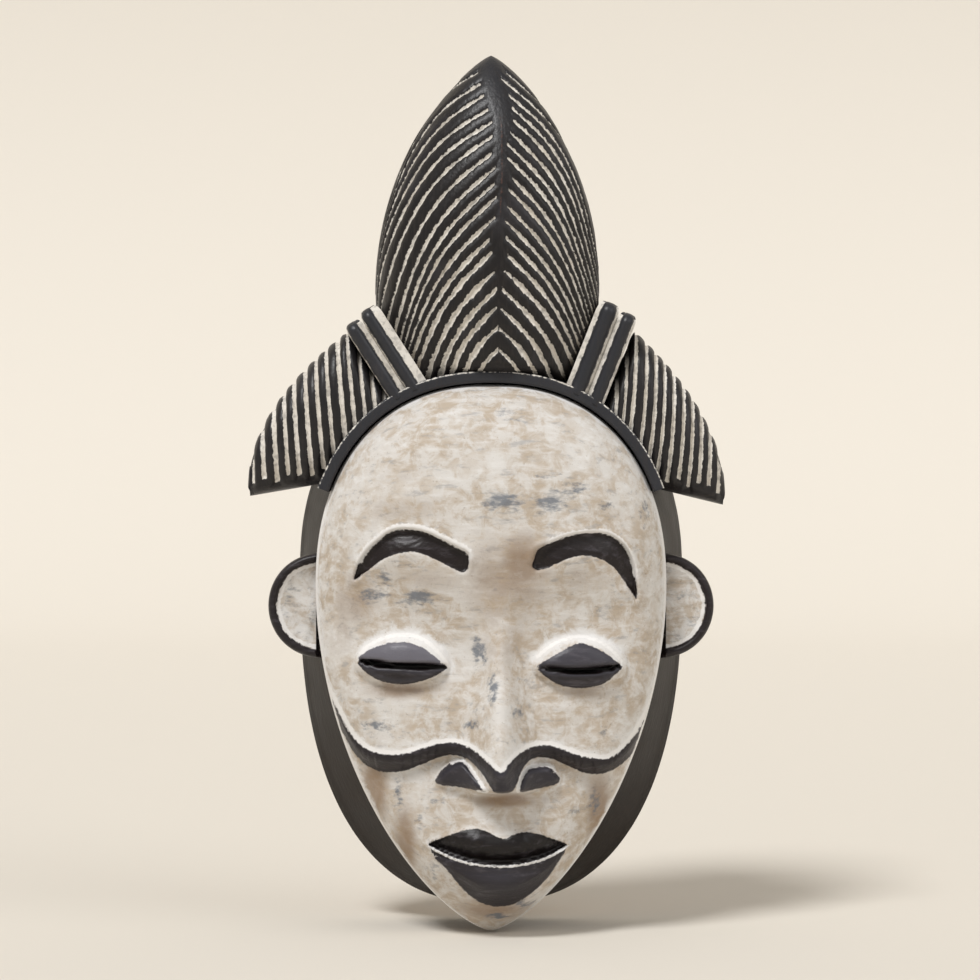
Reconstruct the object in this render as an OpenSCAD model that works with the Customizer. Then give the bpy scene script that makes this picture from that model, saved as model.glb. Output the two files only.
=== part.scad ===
/* [Mask] */
// Height from the hang point down to the hairline
hair_drop = 56; // [50:1:70]
// Half width of the face at the ears
face_half_w = 79; // [60:1:95]
// Height of the forehead above the widest line
brow_h = 91; // [75:1:110]
// Height of the jaw below the widest line
jaw_h = 155; // [125:1:185]
// Depth of the dark back shell, from the wall to the seat of the face
shell_depth = 42; // [30:1:52]
// How far the brow stands in front of the face's seat
face_bulge = 45; // [36:1:54]

/* [Shell] */
// How much wider the shell is than the face, each side, at the wall
shell_flare = 10; // [6:1:16]
// Wall of the shell at its sides
shell_wall = 8.5; // [7:0.5:12]
// Solid wood at the top of the shell, where the dowels enter
crown_wall = 20; // [17:1:26]
// How far the chin reaches below the shell
chin_reach = 11; // [6:1:20]

/* [Hair] */
// Height of the crest above the hairline
crest_h = 147; // [110:1:175]
// Half width of the crest at its widest
crest_half_w = 51; // [40:1:60]
// Front of the crest, measured from the wall
crest_depth = 66; // [54:1:80]
// Gap between the crest's flat back and the wall, which holds the hanger
hanger_gap = 6; // [5.8:0.1:9]
// Width of the arched headband
headband_w = 5.4; // [4:0.2:8]
// Width of a hair tie
tie_w = 8.4; // [6:0.2:10]
// Reach of the side tresses past the face
tress_reach = 31; // [22:1:40]

/* [Ears] */
// Reach of an ear past the face
ear_reach = 22; // [16:1:30]
// Half height of an ear
ear_half_h = 24; // [18:1:30]
// Thickness of an ear
ear_t = 11; // [8:0.5:14]

/* [Joinery] */
// Diameter of the wooden dowels
dowel_d = 8; // [5:0.5:8]
// Diameter of the pins that locate the face on the shell
pin_d = 4; // [3:0.5:5]
// Glue gap between two wooden pieces
glue_gap = 0.15; // [0.1:0.05:0.4]

/* [Hanger] */
// Wire diameter of the hanging ring
wire_d = 2.4; // [1.8:0.1:2.5]
// Inner half width of the hanging ring
ring_r = 8; // [6:0.5:11]
// Thickness of the hanger's strap
strap_t = 0.8; // [0.6:0.1:1]
// Width of the hanger's strap
strap_w = 11; // [9:0.5:12]

/* [Hidden] */
$fn = 48;
AROUND = 56;                 // points round an outline
FAR = 400;                   // longer than the mask
FIT = 0.05;                  // clearance round a dowel

hair_z = -hair_drop;
face_z = hair_z - brow_h - 4;
shell_z = face_z + 4;

// An egg outline: [half width, rise, fall, upper exponent, upper root, lower exponent, lower root]
FACE = [face_half_w, brow_h, jaw_h, 2.25, 0.44, 1.89, 0.69];
SHELL_BACK = [face_half_w + shell_flare, brow_h + 4, jaw_h - chin_reach + 9, 2.4, 0.42, 2.5, 0.42];
SHELL_FRONT = [face_half_w - 2, brow_h - 2, jaw_h - chin_reach - 4, 2.25, 0.44, 1.89, 0.69];
HOLLOW_BACK = [SHELL_BACK[0] - shell_wall, SHELL_BACK[1] - crown_wall, SHELL_BACK[2] - shell_wall - 4,
               2.4, 0.42, 2.5, 0.42];
HOLLOW_FRONT = [SHELL_FRONT[0] - shell_wall, SHELL_BACK[1] - crown_wall - 3, SHELL_FRONT[2] - 2 * shell_wall,
                2.25, 0.44, 1.89, 0.62];

function egg(e, t) = let (s = sin(t), u = abs(s))
    [sign(cos(t)) * e[0] * pow(max(0, 1 - pow(u, s > 0 ? e[3] : e[5])), s > 0 ? e[4] : e[6]),
     s * (s > 0 ? e[1] : e[2])];
function grown(e, g) = [e[0] + g, e[1] + g, e[2] + g, e[3], e[4], e[5], e[6]];
function half_width(e, z) = let (u = min(1, abs(z) / (z > 0 ? e[1] : e[2])))
    e[0] * pow(1 - pow(u, z > 0 ? e[3] : e[5]), z > 0 ? e[4] : e[6]);
function smooth(a, b, v) = let (t = max(0, min(1, (v - a) / (b - a)))) t * t * (3 - 2 * t);
function hump(v, w) = exp(-v * v / (w * w));

// The closed skin over a stack of rings with the same number of points
module skin(rings) {
    n = len(rings[0]);
    m = len(rings);
    polyhedron(
        points = [for (r = rings) for (p = r) p],
        faces = concat(
            [[for (i = [0:n - 1]) i]],
            [for (k = [0:m - 2]) for (i = [0:n - 1])
                let (j = (i + 1) % n)
                each [[k * n + i, (k + 1) * n + i, (k + 1) * n + j], [k * n + i, (k + 1) * n + j, k * n + j]]],
            [[for (i = [n - 1:-1:0]) (m - 1) * n + i]]));
}

// One egg ring, standing at depth d from the wall
function ring(e, z, d, k = 1) =
    [for (i = [0:AROUND - 1]) let (p = egg(e, i * 360 / AROUND)) [k * p[0], -d, z + k * p[1]]];

// The outside of the shell, run a little past both ends
module shell_core(grow = 0) {
    skin([ring(grown(SHELL_BACK, grow), shell_z, 0), ring(grown(SHELL_FRONT, grow), shell_z, shell_depth)]);
}

module along_depth(d0, d1) {
    translate([0, -d0, 0]) rotate([90, 0, 0]) linear_extrude(d1 - d0) children();
}

/* The face: a hollow domed front, with its nose and lips */
SEAT_EDGE = 7;               // height of the face's side, from its seat to the turn of its edge
NOSE_H = 23;                 // how far the nose stands out
NOSE_X = 4;                  // how far the nose and mouth stand off centre
LIPS_H = 9;
function brow_line(z) = face_bulge
    - 9 * smooth(20, -35, z)
    + 4 * smooth(-60, -110, z)
    - 8 * smooth(-jaw_h * 0.85, -jaw_h, z);
function nose(x, z) = NOSE_H * smooth(8, -80, z) * smooth(-jaw_h * 0.6, -jaw_h * 0.565, z)
    * hump(x - NOSE_X, 6 + 5 * smooth(-20, -82, z));
function wings(x, z) = 9 * hump(abs(x - NOSE_X) - 15, 8) * hump(z + jaw_h * 0.53, 7);
function lips(x, z) = LIPS_H * hump(x - NOSE_X, 24) * hump(z + jaw_h * 0.78, 17);
function eyes(x, z) = 5 * hump(abs(x) - face_half_w * 0.51, 16) * hump(z + jaw_h * 0.22, 10);
function side_fall(u) = pow(max(0, 1 - pow(min(1, abs(u)), 2.8)), 0.5);
function end_fall(z) = pow(1 - pow(min(1, abs(z) / (z > 0 ? FACE[1] : FACE[2])), 3.4), 0.5);
// How far the face stands in front of its seat, at a point measured from its centre
function face_front(x, z) = let (fall = side_fall(x / half_width(FACE, z)) * end_fall(z)) SEAT_EDGE
    + (brow_line(z) - SEAT_EDGE) * fall
    + (nose(x, z) + wings(x, z) + lips(x, z) + eyes(x, z)) * smooth(0, 0.5, fall);
FACE_ROWS = 40;
FACE_COLUMNS = 15;           // each side of the middle

module face_body() {
    rows = [for (i = [0:FACE_ROWS]) let (s = sin(i * 176 / FACE_ROWS - 88)) (s > 0 ? FACE[1] : FACE[2]) * s];
    skin([for (z = rows) let (w = half_width(FACE, z)) concat(
        [[w, -shell_depth, face_z + z]],
        [for (k = [FACE_COLUMNS:-1:-FACE_COLUMNS]) let (x = w * sin(k * 90 / FACE_COLUMNS))
            [x, -shell_depth - face_front(x, z), face_z + z]],
        [[-w, -shell_depth, face_z + z]])]);
}

DOME = face_bulge - 21;      // depth of the hollow inside the face
module face_hollow() {
    skin(concat(
        [ring(HOLLOW_FRONT, shell_z, shell_depth - 1)],
        [for (a = [0:15:75]) ring(HOLLOW_FRONT, shell_z, shell_depth + DOME * sin(a), cos(a))],
        [ring(HOLLOW_FRONT, shell_z, shell_depth + DOME, 0.1)]));
}

EYE_X = face_half_w * 0.51;
EYE_Z = face_z - jaw_h * 0.228;
SLIT = [26, 2.2];            // width and height of an eye slit
PIN_ANGLES = [20, 58, 122, 160, 205, 335];
pin_len = 12;

module pin_places() {
    mid = grown(SHELL_FRONT, -shell_wall / 2);
    for (t = PIN_ANGLES) {
        p = egg(mid, t);
        translate([p[0], -shell_depth, shell_z + p[1]]) rotate([90, 0, 0]) children();
    }
}

module face() {
    color("#cfc4b4") difference() {
        face_body();
        face_hollow();
        for (side = [-1, 1])
            translate([side * EYE_X, -shell_depth - face_bulge / 2, EYE_Z])
                cube([SLIT[0], face_bulge + 20, SLIT[1]], center = true);
        pin_places() cylinder(d = pin_d + 2 * FIT, h = pin_len, center = true);
    }
}

module face_pins() {
    color("#b08a5a") pin_places() cylinder(d = pin_d, h = pin_len - 0.5, center = true);
}

/* The dark shell behind the face, open at the back */
module hollow_core() {
    skin([ring(HOLLOW_BACK, shell_z, -1), ring(HOLLOW_BACK, shell_z, 0),
          ring(HOLLOW_FRONT, shell_z, shell_depth), ring(HOLLOW_FRONT, shell_z, shell_depth + 1)]);
}

module back_shell() {
    color("#3b2f28") difference() {
        shell_core();
        hollow_core();
        pin_places() cylinder(d = pin_d + 2 * FIT, h = pin_len, center = true);
        crest_dowel_places() cylinder(d = dowel_d + 2 * FIT, h = dowel_len);
        for (side = [-1, 1]) {
            tress_dowel_place(side) cylinder(d = dowel_d + 2 * FIT, h = dowel_len);
            ear_dowel_place(side) cylinder(d = pin_d + 2 * FIT, h = ear_dowel_len);
        }
    }
}

// Everything that the face and its headband fill, seen from the front
module face_prism(grow, d0 = 0, d1 = FAR) {
    along_depth(d0, d1) polygon(outline(grown(FACE, grow), face_z));
}
CUT_AROUND = 144;            // points round a cut, finer than what it clears
function outline(e, z) = [for (i = [0:CUT_AROUND - 1]) let (p = egg(e, i * 360 / CUT_AROUND)) [p[0], z + p[1]]];

/* The headband: an arch round the top of the face */
BAND_BACK = 24;              // depth where the arch starts
BAND_FRONT = SEAT_EDGE + 10; // how far the arch stands in front of the seat
BAND_END = 28;               // degrees above the widest line where the arch ends
BAND_STEPS = 40;

module headband() {
    arc = [for (i = [0:BAND_STEPS]) BAND_END + i * (180 - 2 * BAND_END) / BAND_STEPS];
    inner = [for (t = arc) egg(grown(FACE, glue_gap), t)];
    outer = [for (t = arc) egg(grown(FACE, glue_gap + headband_w), t)];
    color("#1f1b1c") difference() {
        translate([0, 0, face_z]) along_depth(BAND_BACK, shell_depth + BAND_FRONT)
            polygon(concat(outer, [for (i = [BAND_STEPS:-1:0]) inner[i]]));
        shell_core(glue_gap);
    }
}

// What every piece of hair is cut back from
module hairline_cut() {
    shell_core(glue_gap);
    face_prism(headband_w + 2 * glue_gap, BAND_BACK - glue_gap);
}

/* The crest: a pointed bud with a flat back */
WIDEST = 38;                 // height of the crest's widest line above the hairline
CREST_EDGE = 21;             // depth of the crest's side edge
RIDGE_X = 4.5;               // how far the ridge stands off centre
CREST_X = -2;                // the crest's own place across the head
CREST_LEVELS = [-0.07, 0, 0.07, 0.14, 0.2, 0.26, 0.34, 0.42, 0.5, 0.58, 0.66, 0.74, 0.81, 0.87, 0.92,
                0.96, 0.985, 1];
ARC = 9;                     // half the steps across the crest's front

function crest_w(h) = h > WIDEST
    ? let (u = min(1, (h - WIDEST) / (crest_h - WIDEST))) crest_half_w * pow(1 - pow(u, 2.05), 0.8) + 0.2
    : let (v = (WIDEST - h) / 40) crest_half_w * sqrt(1 - pow(0.7 * min(1.3, v), 2));
function crest_ridge(h) = h > WIDEST
    ? let (u = min(1, (h - WIDEST) / (crest_h - WIDEST)))
        CREST_EDGE + 3 + (crest_depth - CREST_EDGE - 3) * pow(1 - pow(u, 2.2), 0.7)
    : crest_depth - 3 * pow((WIDEST - h) / 40, 2);
function crest_ring(h) = let (w = crest_w(h), top = crest_ridge(h), x = RIDGE_X * w / crest_half_w)
    concat(
        [for (i = [-ARC:ARC]) let (a = i * 90 / ARC)
            [CREST_X + w * sin(a) + x * cos(a), -CREST_EDGE - (top - CREST_EDGE) * pow(cos(a), 0.85),
             hair_z + h]],
        [for (k = [0.98, 0.86, 0, -0.86, -0.98])
            [CREST_X + w * k, -(abs(k) < 0.9 ? hanger_gap : hanger_gap + 5), hair_z + h]]);

module crest_body() {
    skin([for (u = CREST_LEVELS) crest_ring(u * crest_h)]);
}

dowel_len = 24;
DOWEL_BEHIND = 1;            // wood between the dowels and the headband in front of them
DOWEL_AT = BAND_BACK - dowel_d / 2 - DOWEL_BEHIND;
CREST_DOWEL_X = 16;
module crest_dowel_places() {
    for (x = [-CREST_DOWEL_X, CREST_DOWEL_X])
        translate([x, -DOWEL_AT, hair_z - dowel_len / 2]) children();
}

module crest() {
    color("#231f20") difference() {
        crest_body();
        hairline_cut();
        for (t = TIES) tie_slab(t);
        crest_dowel_places() cylinder(d = dowel_d + 2 * FIT, h = dowel_len);
        screw_places() translate([0, 0, -1]) cylinder(d = SCREW[0], h = SCREW[1] + 1);
    }
}
module crest_dowels() {
    color("#b08a5a") crest_dowel_places() cylinder(d = dowel_d, h = dowel_len - 0.5);
}

/* The ties: two round mouldings at the root of each tress
   [side, lean from upright, foot across, foot above the hairline, length, width, place from the outer tie] */
TIE_BACK = 14;
TIE_FRONT = 60;
INNER_LIFT = 1.5;
TIES = [
    [-1, 32.7, 40.4, -11.0, 41, tie_w, 0],
    [-1, 32.7, 40.4, -11.0, 41, tie_w, 1],
    [ 1, 21.5, 48.5,  -7.0, 37, tie_w, 0],
    [ 1, 21.5, 48.5,  -7.0, 37, tie_w + 0.8, 1]];

// Local x runs outwards, local z runs up the tie, and y stays the depth
module at_tie(t) {
    shift = t[6] * ((tie_w + t[5]) / 2 + glue_gap);
    mirror([t[0] < 0 ? 1 : 0, 0, 0])
        translate([t[2], 0, hair_z + t[3]]) rotate([0, t[1], 0])
            translate([-shift, 0, t[6] * INNER_LIFT]) children();
}
module tie(t) {
    r = t[5] / 2;
    drop = 14;
    color("#26292e") difference() {
        at_tie(t) {
            translate([-r, -TIE_FRONT + r, -drop]) cube([t[5], TIE_FRONT - r - TIE_BACK, t[4] + drop]);
            translate([0, -TIE_FRONT + r, -drop]) cylinder(r = r, h = t[4] + drop);
        }
        hairline_cut();
    }
}
// The space of a tie, and everything beyond its top, with a glue gap round it
module tie_slab(t) {
    w = t[5] + 2 * glue_gap;
    at_tie(t) translate([-w / 2, -FAR / 2, -20]) cube([w, FAR, t[4] + 20 + glue_gap]);
}
module left_outer_tie() { tie(TIES[0]); }
module left_inner_tie() { tie(TIES[1]); }
module right_outer_tie() { tie(TIES[2]); }
module right_inner_tie() { tie(TIES[3]); }

/* The tresses: a wing at each side of the head, built from upright sections, tip first */
TRESS_SPAN = 66;             // from the tip to the root, across
TRESS_SLANT = 0.12;          // lean of the sections
TRESS_SECTIONS = [0, 0.02, 0.06, 0.12, 0.2, 0.3, 0.42, 0.55, 0.7, 0.85, 1];
TRESS_AROUND = 20;
function tress_top(s, sag) = -50 + (82 + 0.6 * sag) * sqrt(s) - sag * (1 - s);
function tress_foot(s, sag) = -54 + 12 * s - sag * (1 - s);
function tress_ring(s, trim, sag) = let (
        x = face_half_w + tress_reach - trim - s * (TRESS_SPAN - trim),
        top = tress_top(s, sag), foot = tress_foot(s, sag),
        mid = (top + foot) / 2, half_z = max(1, (top - foot) / 2),
        thick = 9 + 14 * sin(90 * min(1, 1.6 * s)) - 5 * (1 - smooth(0, 0.06, s)),
        depth = 31 + 3 * s)
    [for (i = [0:TRESS_AROUND - 1]) let (a = i * 360 / TRESS_AROUND,
            z = mid + half_z * sign(sin(a)) * pow(abs(sin(a)), 0.8))
        [x + TRESS_SLANT * (z - mid) * (1 - 0.6 * (1 - s)),
         -depth - thick * sign(cos(a)) * pow(abs(cos(a)), 0.8),
         hair_z + z]];

module tress_dowel_place(side) {
    mirror([side < 0 ? 1 : 0, 0, 0])
        translate([face_half_w * 0.72, -DOWEL_AT, hair_z - 30]) rotate([0, 90, 0]) children();
}
module tress(side, trim, sag, outer) {
    color("#26292e") difference() {
        mirror([side < 0 ? 1 : 0, 0, 0]) skin([for (s = TRESS_SECTIONS) tress_ring(s, trim, sag)]);
        hairline_cut();
        at_tie(outer) translate([-FAR + tie_w / 2 + glue_gap, -FAR / 2, -FAR / 2]) cube([FAR, FAR, FAR]);
        tress_dowel_place(side) cylinder(d = dowel_d + 2 * FIT, h = dowel_len);
    }
}
module left_tress() { tress(-1, 0, 0, TIES[0]); }
module right_tress() { tress(1, 4, 4, TIES[2]); }
module left_tress_dowel() { color("#b08a5a") tress_dowel_place(-1) cylinder(d = dowel_d, h = dowel_len - 0.5); }
module right_tress_dowel() { color("#b08a5a") tress_dowel_place(1) cylinder(d = dowel_d, h = dowel_len - 0.5); }

/* The ears: half rounds with a raised rim */
EAR_BACK = shell_depth - 10;
EAR_RIM = 4;
ear_z = face_z - 9;
ear_dowel_len = 13;
function ear_outline(grow) = [for (a = [-90:10:90])
    [face_half_w - 4 + (ear_reach + 4 + grow) * pow(cos(a), 0.9), ear_z + (ear_half_h + grow) * sin(a)]];
module ear_dowel_place(side) {
    mirror([side < 0 ? 1 : 0, 0, 0])
        translate([face_half_w - 6.5, -EAR_BACK - pin_d, ear_z]) rotate([0, 90, 0]) children();
}
module ear(side) {
    color("#9d9a98") difference() {
        mirror([side < 0 ? 1 : 0, 0, 0]) difference() {
            along_depth(EAR_BACK, EAR_BACK + ear_t) polygon(ear_outline(0));
            along_depth(EAR_BACK + ear_t - 2, FAR) polygon(ear_outline(-EAR_RIM));
        }
        shell_core(glue_gap);
        face_prism(glue_gap, shell_depth - 1);
        ear_dowel_place(side) cylinder(d = pin_d + 2 * FIT, h = ear_dowel_len);
    }
}
module left_ear() { ear(-1); }
module right_ear() { ear(1); }
module left_ear_dowel() { color("#b08a5a") ear_dowel_place(-1) cylinder(d = pin_d, h = ear_dowel_len - 0.5); }
module right_ear_dowel() { color("#b08a5a") ear_dowel_place(1) cylinder(d = pin_d, h = ear_dowel_len - 0.5); }

/* The hanger: a strap with a curled end that holds a D-shaped ring */
CORNER = 3;                  // bend radius of the ring's corners
LEG = 4;                     // straight side of the ring
CURL_GAP = 0.1;              // running clearance round the wire
STRAP_LEN = 27;
SCREW = [2.8, 15];           // diameter and length of a screw's shank
SCREW_HEAD = [5.4, 1.5];
SCREW_DROPS = [9, 22];       // distance of each screw below the hinge
wire_r = wire_d / 2;
ring_mid_r = ring_r + wire_r;
ring_h = CORNER + LEG + ring_mid_r;
hinge_d = hanger_gap - strap_t - CURL_GAP - wire_r;
lean = asin((hanger_gap - 0.05 - wire_r - hinge_d) / ring_h);
hinge_z = -(ring_h - wire_r) * cos(lean);
curl_r = wire_r + CURL_GAP + strap_t;

module screw_places() {
    for (drop = SCREW_DROPS)
        translate([0, -hanger_gap + strap_t, hinge_z - drop]) rotate([90, 0, 0]) children();
}
module hanger_strap() {
    color("#c9a24b") difference() {
        translate([-strap_w / 2, 0, 0]) rotate([90, 0, 90]) linear_extrude(strap_w) difference() {
            union() {
                translate([-hinge_d, hinge_z]) circle(r = curl_r);
                translate([-hanger_gap, hinge_z - STRAP_LEN]) square([strap_t, STRAP_LEN]);
            }
            translate([-hinge_d, hinge_z]) circle(r = wire_r + CURL_GAP);
        }
        screw_places() translate([0, 0, -1]) cylinder(d = SCREW[0] + 2 * FIT, h = strap_t + 2);
    }
}
module hanger_screws() {
    color("#8d8f92") screw_places() {
        cylinder(d = SCREW[0], h = SCREW[1] - 0.5);
        translate([0, 0, -SCREW_HEAD[1]]) cylinder(d = SCREW_HEAD[0], h = SCREW_HEAD[1]);
    }
}
module wire_arc(r, start, sweep) {
    rotate([90, 0, 0]) rotate([0, 0, start]) rotate_extrude(angle = sweep) translate([r, 0]) circle(r = wire_r);
}
module hanger_ring() {
    flat = ring_mid_r - CORNER;
    color("#c9a24b") translate([0, -hinge_d, hinge_z]) rotate([lean, 0, 0]) {
        rotate([0, 90, 0]) cylinder(r = wire_r, h = 2 * flat, center = true);
        for (side = [0, 1]) mirror([side, 0, 0]) {
            translate([flat, 0, CORNER]) wire_arc(CORNER, -90, 90);
            translate([ring_mid_r, 0, CORNER]) cylinder(r = wire_r, h = LEG);
        }
        translate([0, 0, CORNER + LEG]) wire_arc(ring_mid_r, 0, 180);
    }
}

back_shell();
face();
headband();
crest();
left_tress();
right_tress();
left_outer_tie();
left_inner_tie();
right_inner_tie();
right_outer_tie();
left_ear();
right_ear();
face_pins();
crest_dowels();
left_tress_dowel();
right_tress_dowel();
left_ear_dowel();
right_ear_dowel();
hanger_strap();
hanger_screws();
hanger_ring();
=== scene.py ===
import bmesh, bpy, math
import numpy as np
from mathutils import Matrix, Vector


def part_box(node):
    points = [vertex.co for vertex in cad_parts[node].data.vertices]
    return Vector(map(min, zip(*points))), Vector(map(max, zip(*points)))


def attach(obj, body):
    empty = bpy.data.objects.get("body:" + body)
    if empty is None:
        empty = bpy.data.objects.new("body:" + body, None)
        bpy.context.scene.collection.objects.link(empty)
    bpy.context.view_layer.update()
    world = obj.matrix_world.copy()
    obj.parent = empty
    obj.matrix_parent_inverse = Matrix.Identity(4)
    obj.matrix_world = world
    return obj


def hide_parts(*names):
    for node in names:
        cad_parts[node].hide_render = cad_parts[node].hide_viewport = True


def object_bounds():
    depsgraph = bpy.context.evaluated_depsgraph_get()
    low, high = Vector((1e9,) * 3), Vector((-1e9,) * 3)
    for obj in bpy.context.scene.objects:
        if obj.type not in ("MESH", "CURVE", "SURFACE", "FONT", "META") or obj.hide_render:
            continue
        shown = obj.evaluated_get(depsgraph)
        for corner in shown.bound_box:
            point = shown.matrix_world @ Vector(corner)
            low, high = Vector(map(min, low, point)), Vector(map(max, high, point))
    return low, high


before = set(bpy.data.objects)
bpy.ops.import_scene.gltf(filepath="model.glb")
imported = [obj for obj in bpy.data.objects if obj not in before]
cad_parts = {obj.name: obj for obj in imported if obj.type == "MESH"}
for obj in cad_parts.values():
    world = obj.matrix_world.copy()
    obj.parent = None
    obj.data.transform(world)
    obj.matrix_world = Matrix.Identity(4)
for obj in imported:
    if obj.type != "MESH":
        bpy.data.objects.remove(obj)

cad_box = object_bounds()

# ---- Camera, floor and studio light ---------------------------------------------------------
# The mask hangs level with the eye of someone who stands a long step and a half away from it.
# Pale paper lies under it and turns up behind it. Two broad soft lights shine from above.
EYE_X, EYE_Z = -0.45, -107.75  # mm, as in the sizes below
PLANE = 50                     # depth in front of the wall of the plane that fills the view
EYE_AWAY = 1400                # from that plane
VIEW_WIDE = 441                # what the view takes in at that plane
eye = bpy.data.objects.new("eye", bpy.data.cameras.new("eye"))
bpy.context.collection.objects.link(eye)
eye.location = (EYE_X / 1000, -(PLANE + EYE_AWAY) / 1000, EYE_Z / 1000)
eye.rotation_euler = (math.radians(90), 0, 0)
eye.data.sensor_width = 36
eye.data.lens = eye.data.sensor_width * EYE_AWAY / VIEW_WIDE
eye.data.clip_start, eye.data.clip_end = 0.05, 60
bpy.context.scene.camera = eye
bpy.context.scene.view_settings.view_transform = "Standard"


def paint(code):
    """An sRGB hex colour as the linear RGBA that a shader takes."""
    parts = [int(code[i:i + 2], 16) / 255 for i in (1, 3, 5)]
    return tuple(c / 12.92 if c <= 0.04045 else ((c + 0.055) / 1.055) ** 2.4 for c in parts) + (1.0,)


def add(tree, kind, feeds=None, **settings):
    """One node. settings are its properties; feeds are its inputs, each a value, a node or an output."""
    made = tree.nodes.new(kind)
    for name, value in settings.items():
        setattr(made, name, value)
    for name, value in (feeds or {}).items():
        if isinstance(value, bpy.types.Node):
            value = next(o for o in value.outputs if o.enabled)
        if isinstance(value, bpy.types.NodeSocket):
            tree.links.new(value, made.inputs[name])
        else:
            made.inputs[name].default_value = value
    return made


def finish_named(name):
    """An empty material and its tree, with the shader and the output in place."""
    made = bpy.data.materials.new(name)
    made.use_nodes = True
    tree = made.node_tree
    return made, tree, tree.nodes["Principled BSDF"]


def solid(name, points, faces, finish):
    """A piece from points in millimetres, at the frame's origin, with its faces turned outwards."""
    mesh = bpy.data.meshes.new(name)
    mesh.from_pydata((np.asarray(points, float) * 0.001).tolist(), [], faces)
    shape = bmesh.new()
    shape.from_mesh(mesh)
    bmesh.ops.recalc_face_normals(shape, faces=shape.faces)
    shape.to_mesh(mesh)
    shape.free()
    mesh.polygons.foreach_set("use_smooth", [True] * len(mesh.polygons))
    mesh.update()
    made = bpy.data.objects.new(name, mesh)
    bpy.context.collection.objects.link(made)
    mesh.materials.append(finish)
    return made


paper, tree, shader = finish_named("pale_matt_paper")
shader.inputs["Base Color"].default_value = paint("#dbd5cb")
shader.inputs["Roughness"].default_value = 1.0
shader.inputs["Specular IOR Level"].default_value = 0.0
FLOOR_Z, TURN_AT, TURN_R, TOP_Z = cad_box[0].z * 1000 - 1, 2600, 1600, 9000
bend = [(TURN_AT + TURN_R * math.sin(a), FLOOR_Z + TURN_R * (1 - math.cos(a)))
        for a in np.radians(np.arange(0, 91, 3))]
profile = [(-30000, FLOOR_Z)] + bend + [(TURN_AT + TURN_R, TOP_Z)]
floor = solid("floor", [(x, y, z) for y, z in profile for x in (-30000, 30000)],
              [(2 * i, 2 * i + 1, 2 * i + 3, 2 * i + 2) for i in range(len(profile) - 1)], paper)

world = bpy.data.worlds.new("pale_room")
bpy.context.scene.world = world
world.use_nodes = True
world.node_tree.nodes["Background"].inputs["Color"].default_value = paint("#faf7f3")
world.node_tree.nodes["Background"].inputs["Strength"].default_value = 0.42


def far_light(name, place, strength, spread):
    """A soft light from place towards the frame's origin. spread is how wide it looks, in degrees."""
    lamp = bpy.data.objects.new(name, bpy.data.lights.new(name, "SUN"))
    bpy.context.collection.objects.link(lamp)
    lamp.data.energy, lamp.data.angle = strength, math.radians(spread)
    lamp.rotation_euler = Vector(place).to_track_quat("Z", "Y").to_euler()


far_light("light_above_left", (-0.5, -0.75, 1.25), 2.2, 16)
far_light("light_above_right", (0.9, -0.7, 0.7), 0.55, 40)

# ---- Face -----------------------------------------------------------------------------------
# The front of the mask: a hollow dome of light hardwood, cut with a gouge and a knife, then
# whitewashed. Brows, lids, moulding, nostrils and lips are stained black and their edges are
# rubbed back to white. It is glued and pinned to the shell behind it.
face_low, face_high = (np.array(p) * 1000 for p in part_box("face"))
SEAT = -face_high[1]                            # depth where the face meets the shell
FACE_HALF = (face_high[0] - face_low[0]) / 2
RISE, FALL = 91, 155                            # forehead and jaw, from the widest line
FACE_Z = (FALL * face_high[2] + RISE * face_low[2]) / (RISE + FALL)
SEAT_EDGE = 7
FACE = (FACE_HALF, RISE, FALL, 2.25, 0.44, 1.89, 0.69)
NOSE_X, NOSE_OUT, MOUTH_OUT = 4, 21, 7


def smooth(a, b, v):
    t = np.clip((np.asarray(v, float) - a) / (b - a), 0, 1)
    return t * t * (3 - 2 * t)


def hump(v, w):
    return np.exp(-(np.asarray(v, float) / w) ** 2)


def egg(e, t):
    """Points round an egg outline: half width, rise, fall, then the two ends' exponents and roots."""
    s, c = np.sin(t), np.cos(t)
    up = s > 0
    u = np.abs(s)
    swell = np.where(up, np.maximum(0, 1 - u ** e[3]) ** e[4], np.maximum(0, 1 - u ** e[5]) ** e[6])
    return np.sign(c) * e[0] * swell, s * np.where(up, e[1], e[2])


def half_width(e, z):
    z = np.asarray(z, float)
    u = np.minimum(1, np.abs(z) / np.where(z > 0, e[1], e[2]))
    return e[0] * np.where(z > 0, (1 - u ** e[3]) ** e[4], (1 - u ** e[5]) ** e[6])


def flow(points, closed=False, steps=6):
    """A smooth line through given points."""
    p = np.array(points, float)
    if closed:
        p = np.vstack([p[-1], p, p[0], p[1]])
    else:
        p = np.vstack([2 * p[0] - p[1], p, 2 * p[-1] - p[-2]])
    out = []
    for a, b, c, d in zip(p[:-3], p[1:-2], p[2:-1], p[3:]):
        for t in np.arange(steps) / steps:
            out.append(0.5 * (2 * b + (c - a) * t + (2 * a - 5 * b + 4 * c - d) * t * t
                              + (3 * b - 3 * c + d - a) * t ** 3))
    if not closed:
        out.append(p[-2])
    return np.array(out)


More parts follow.
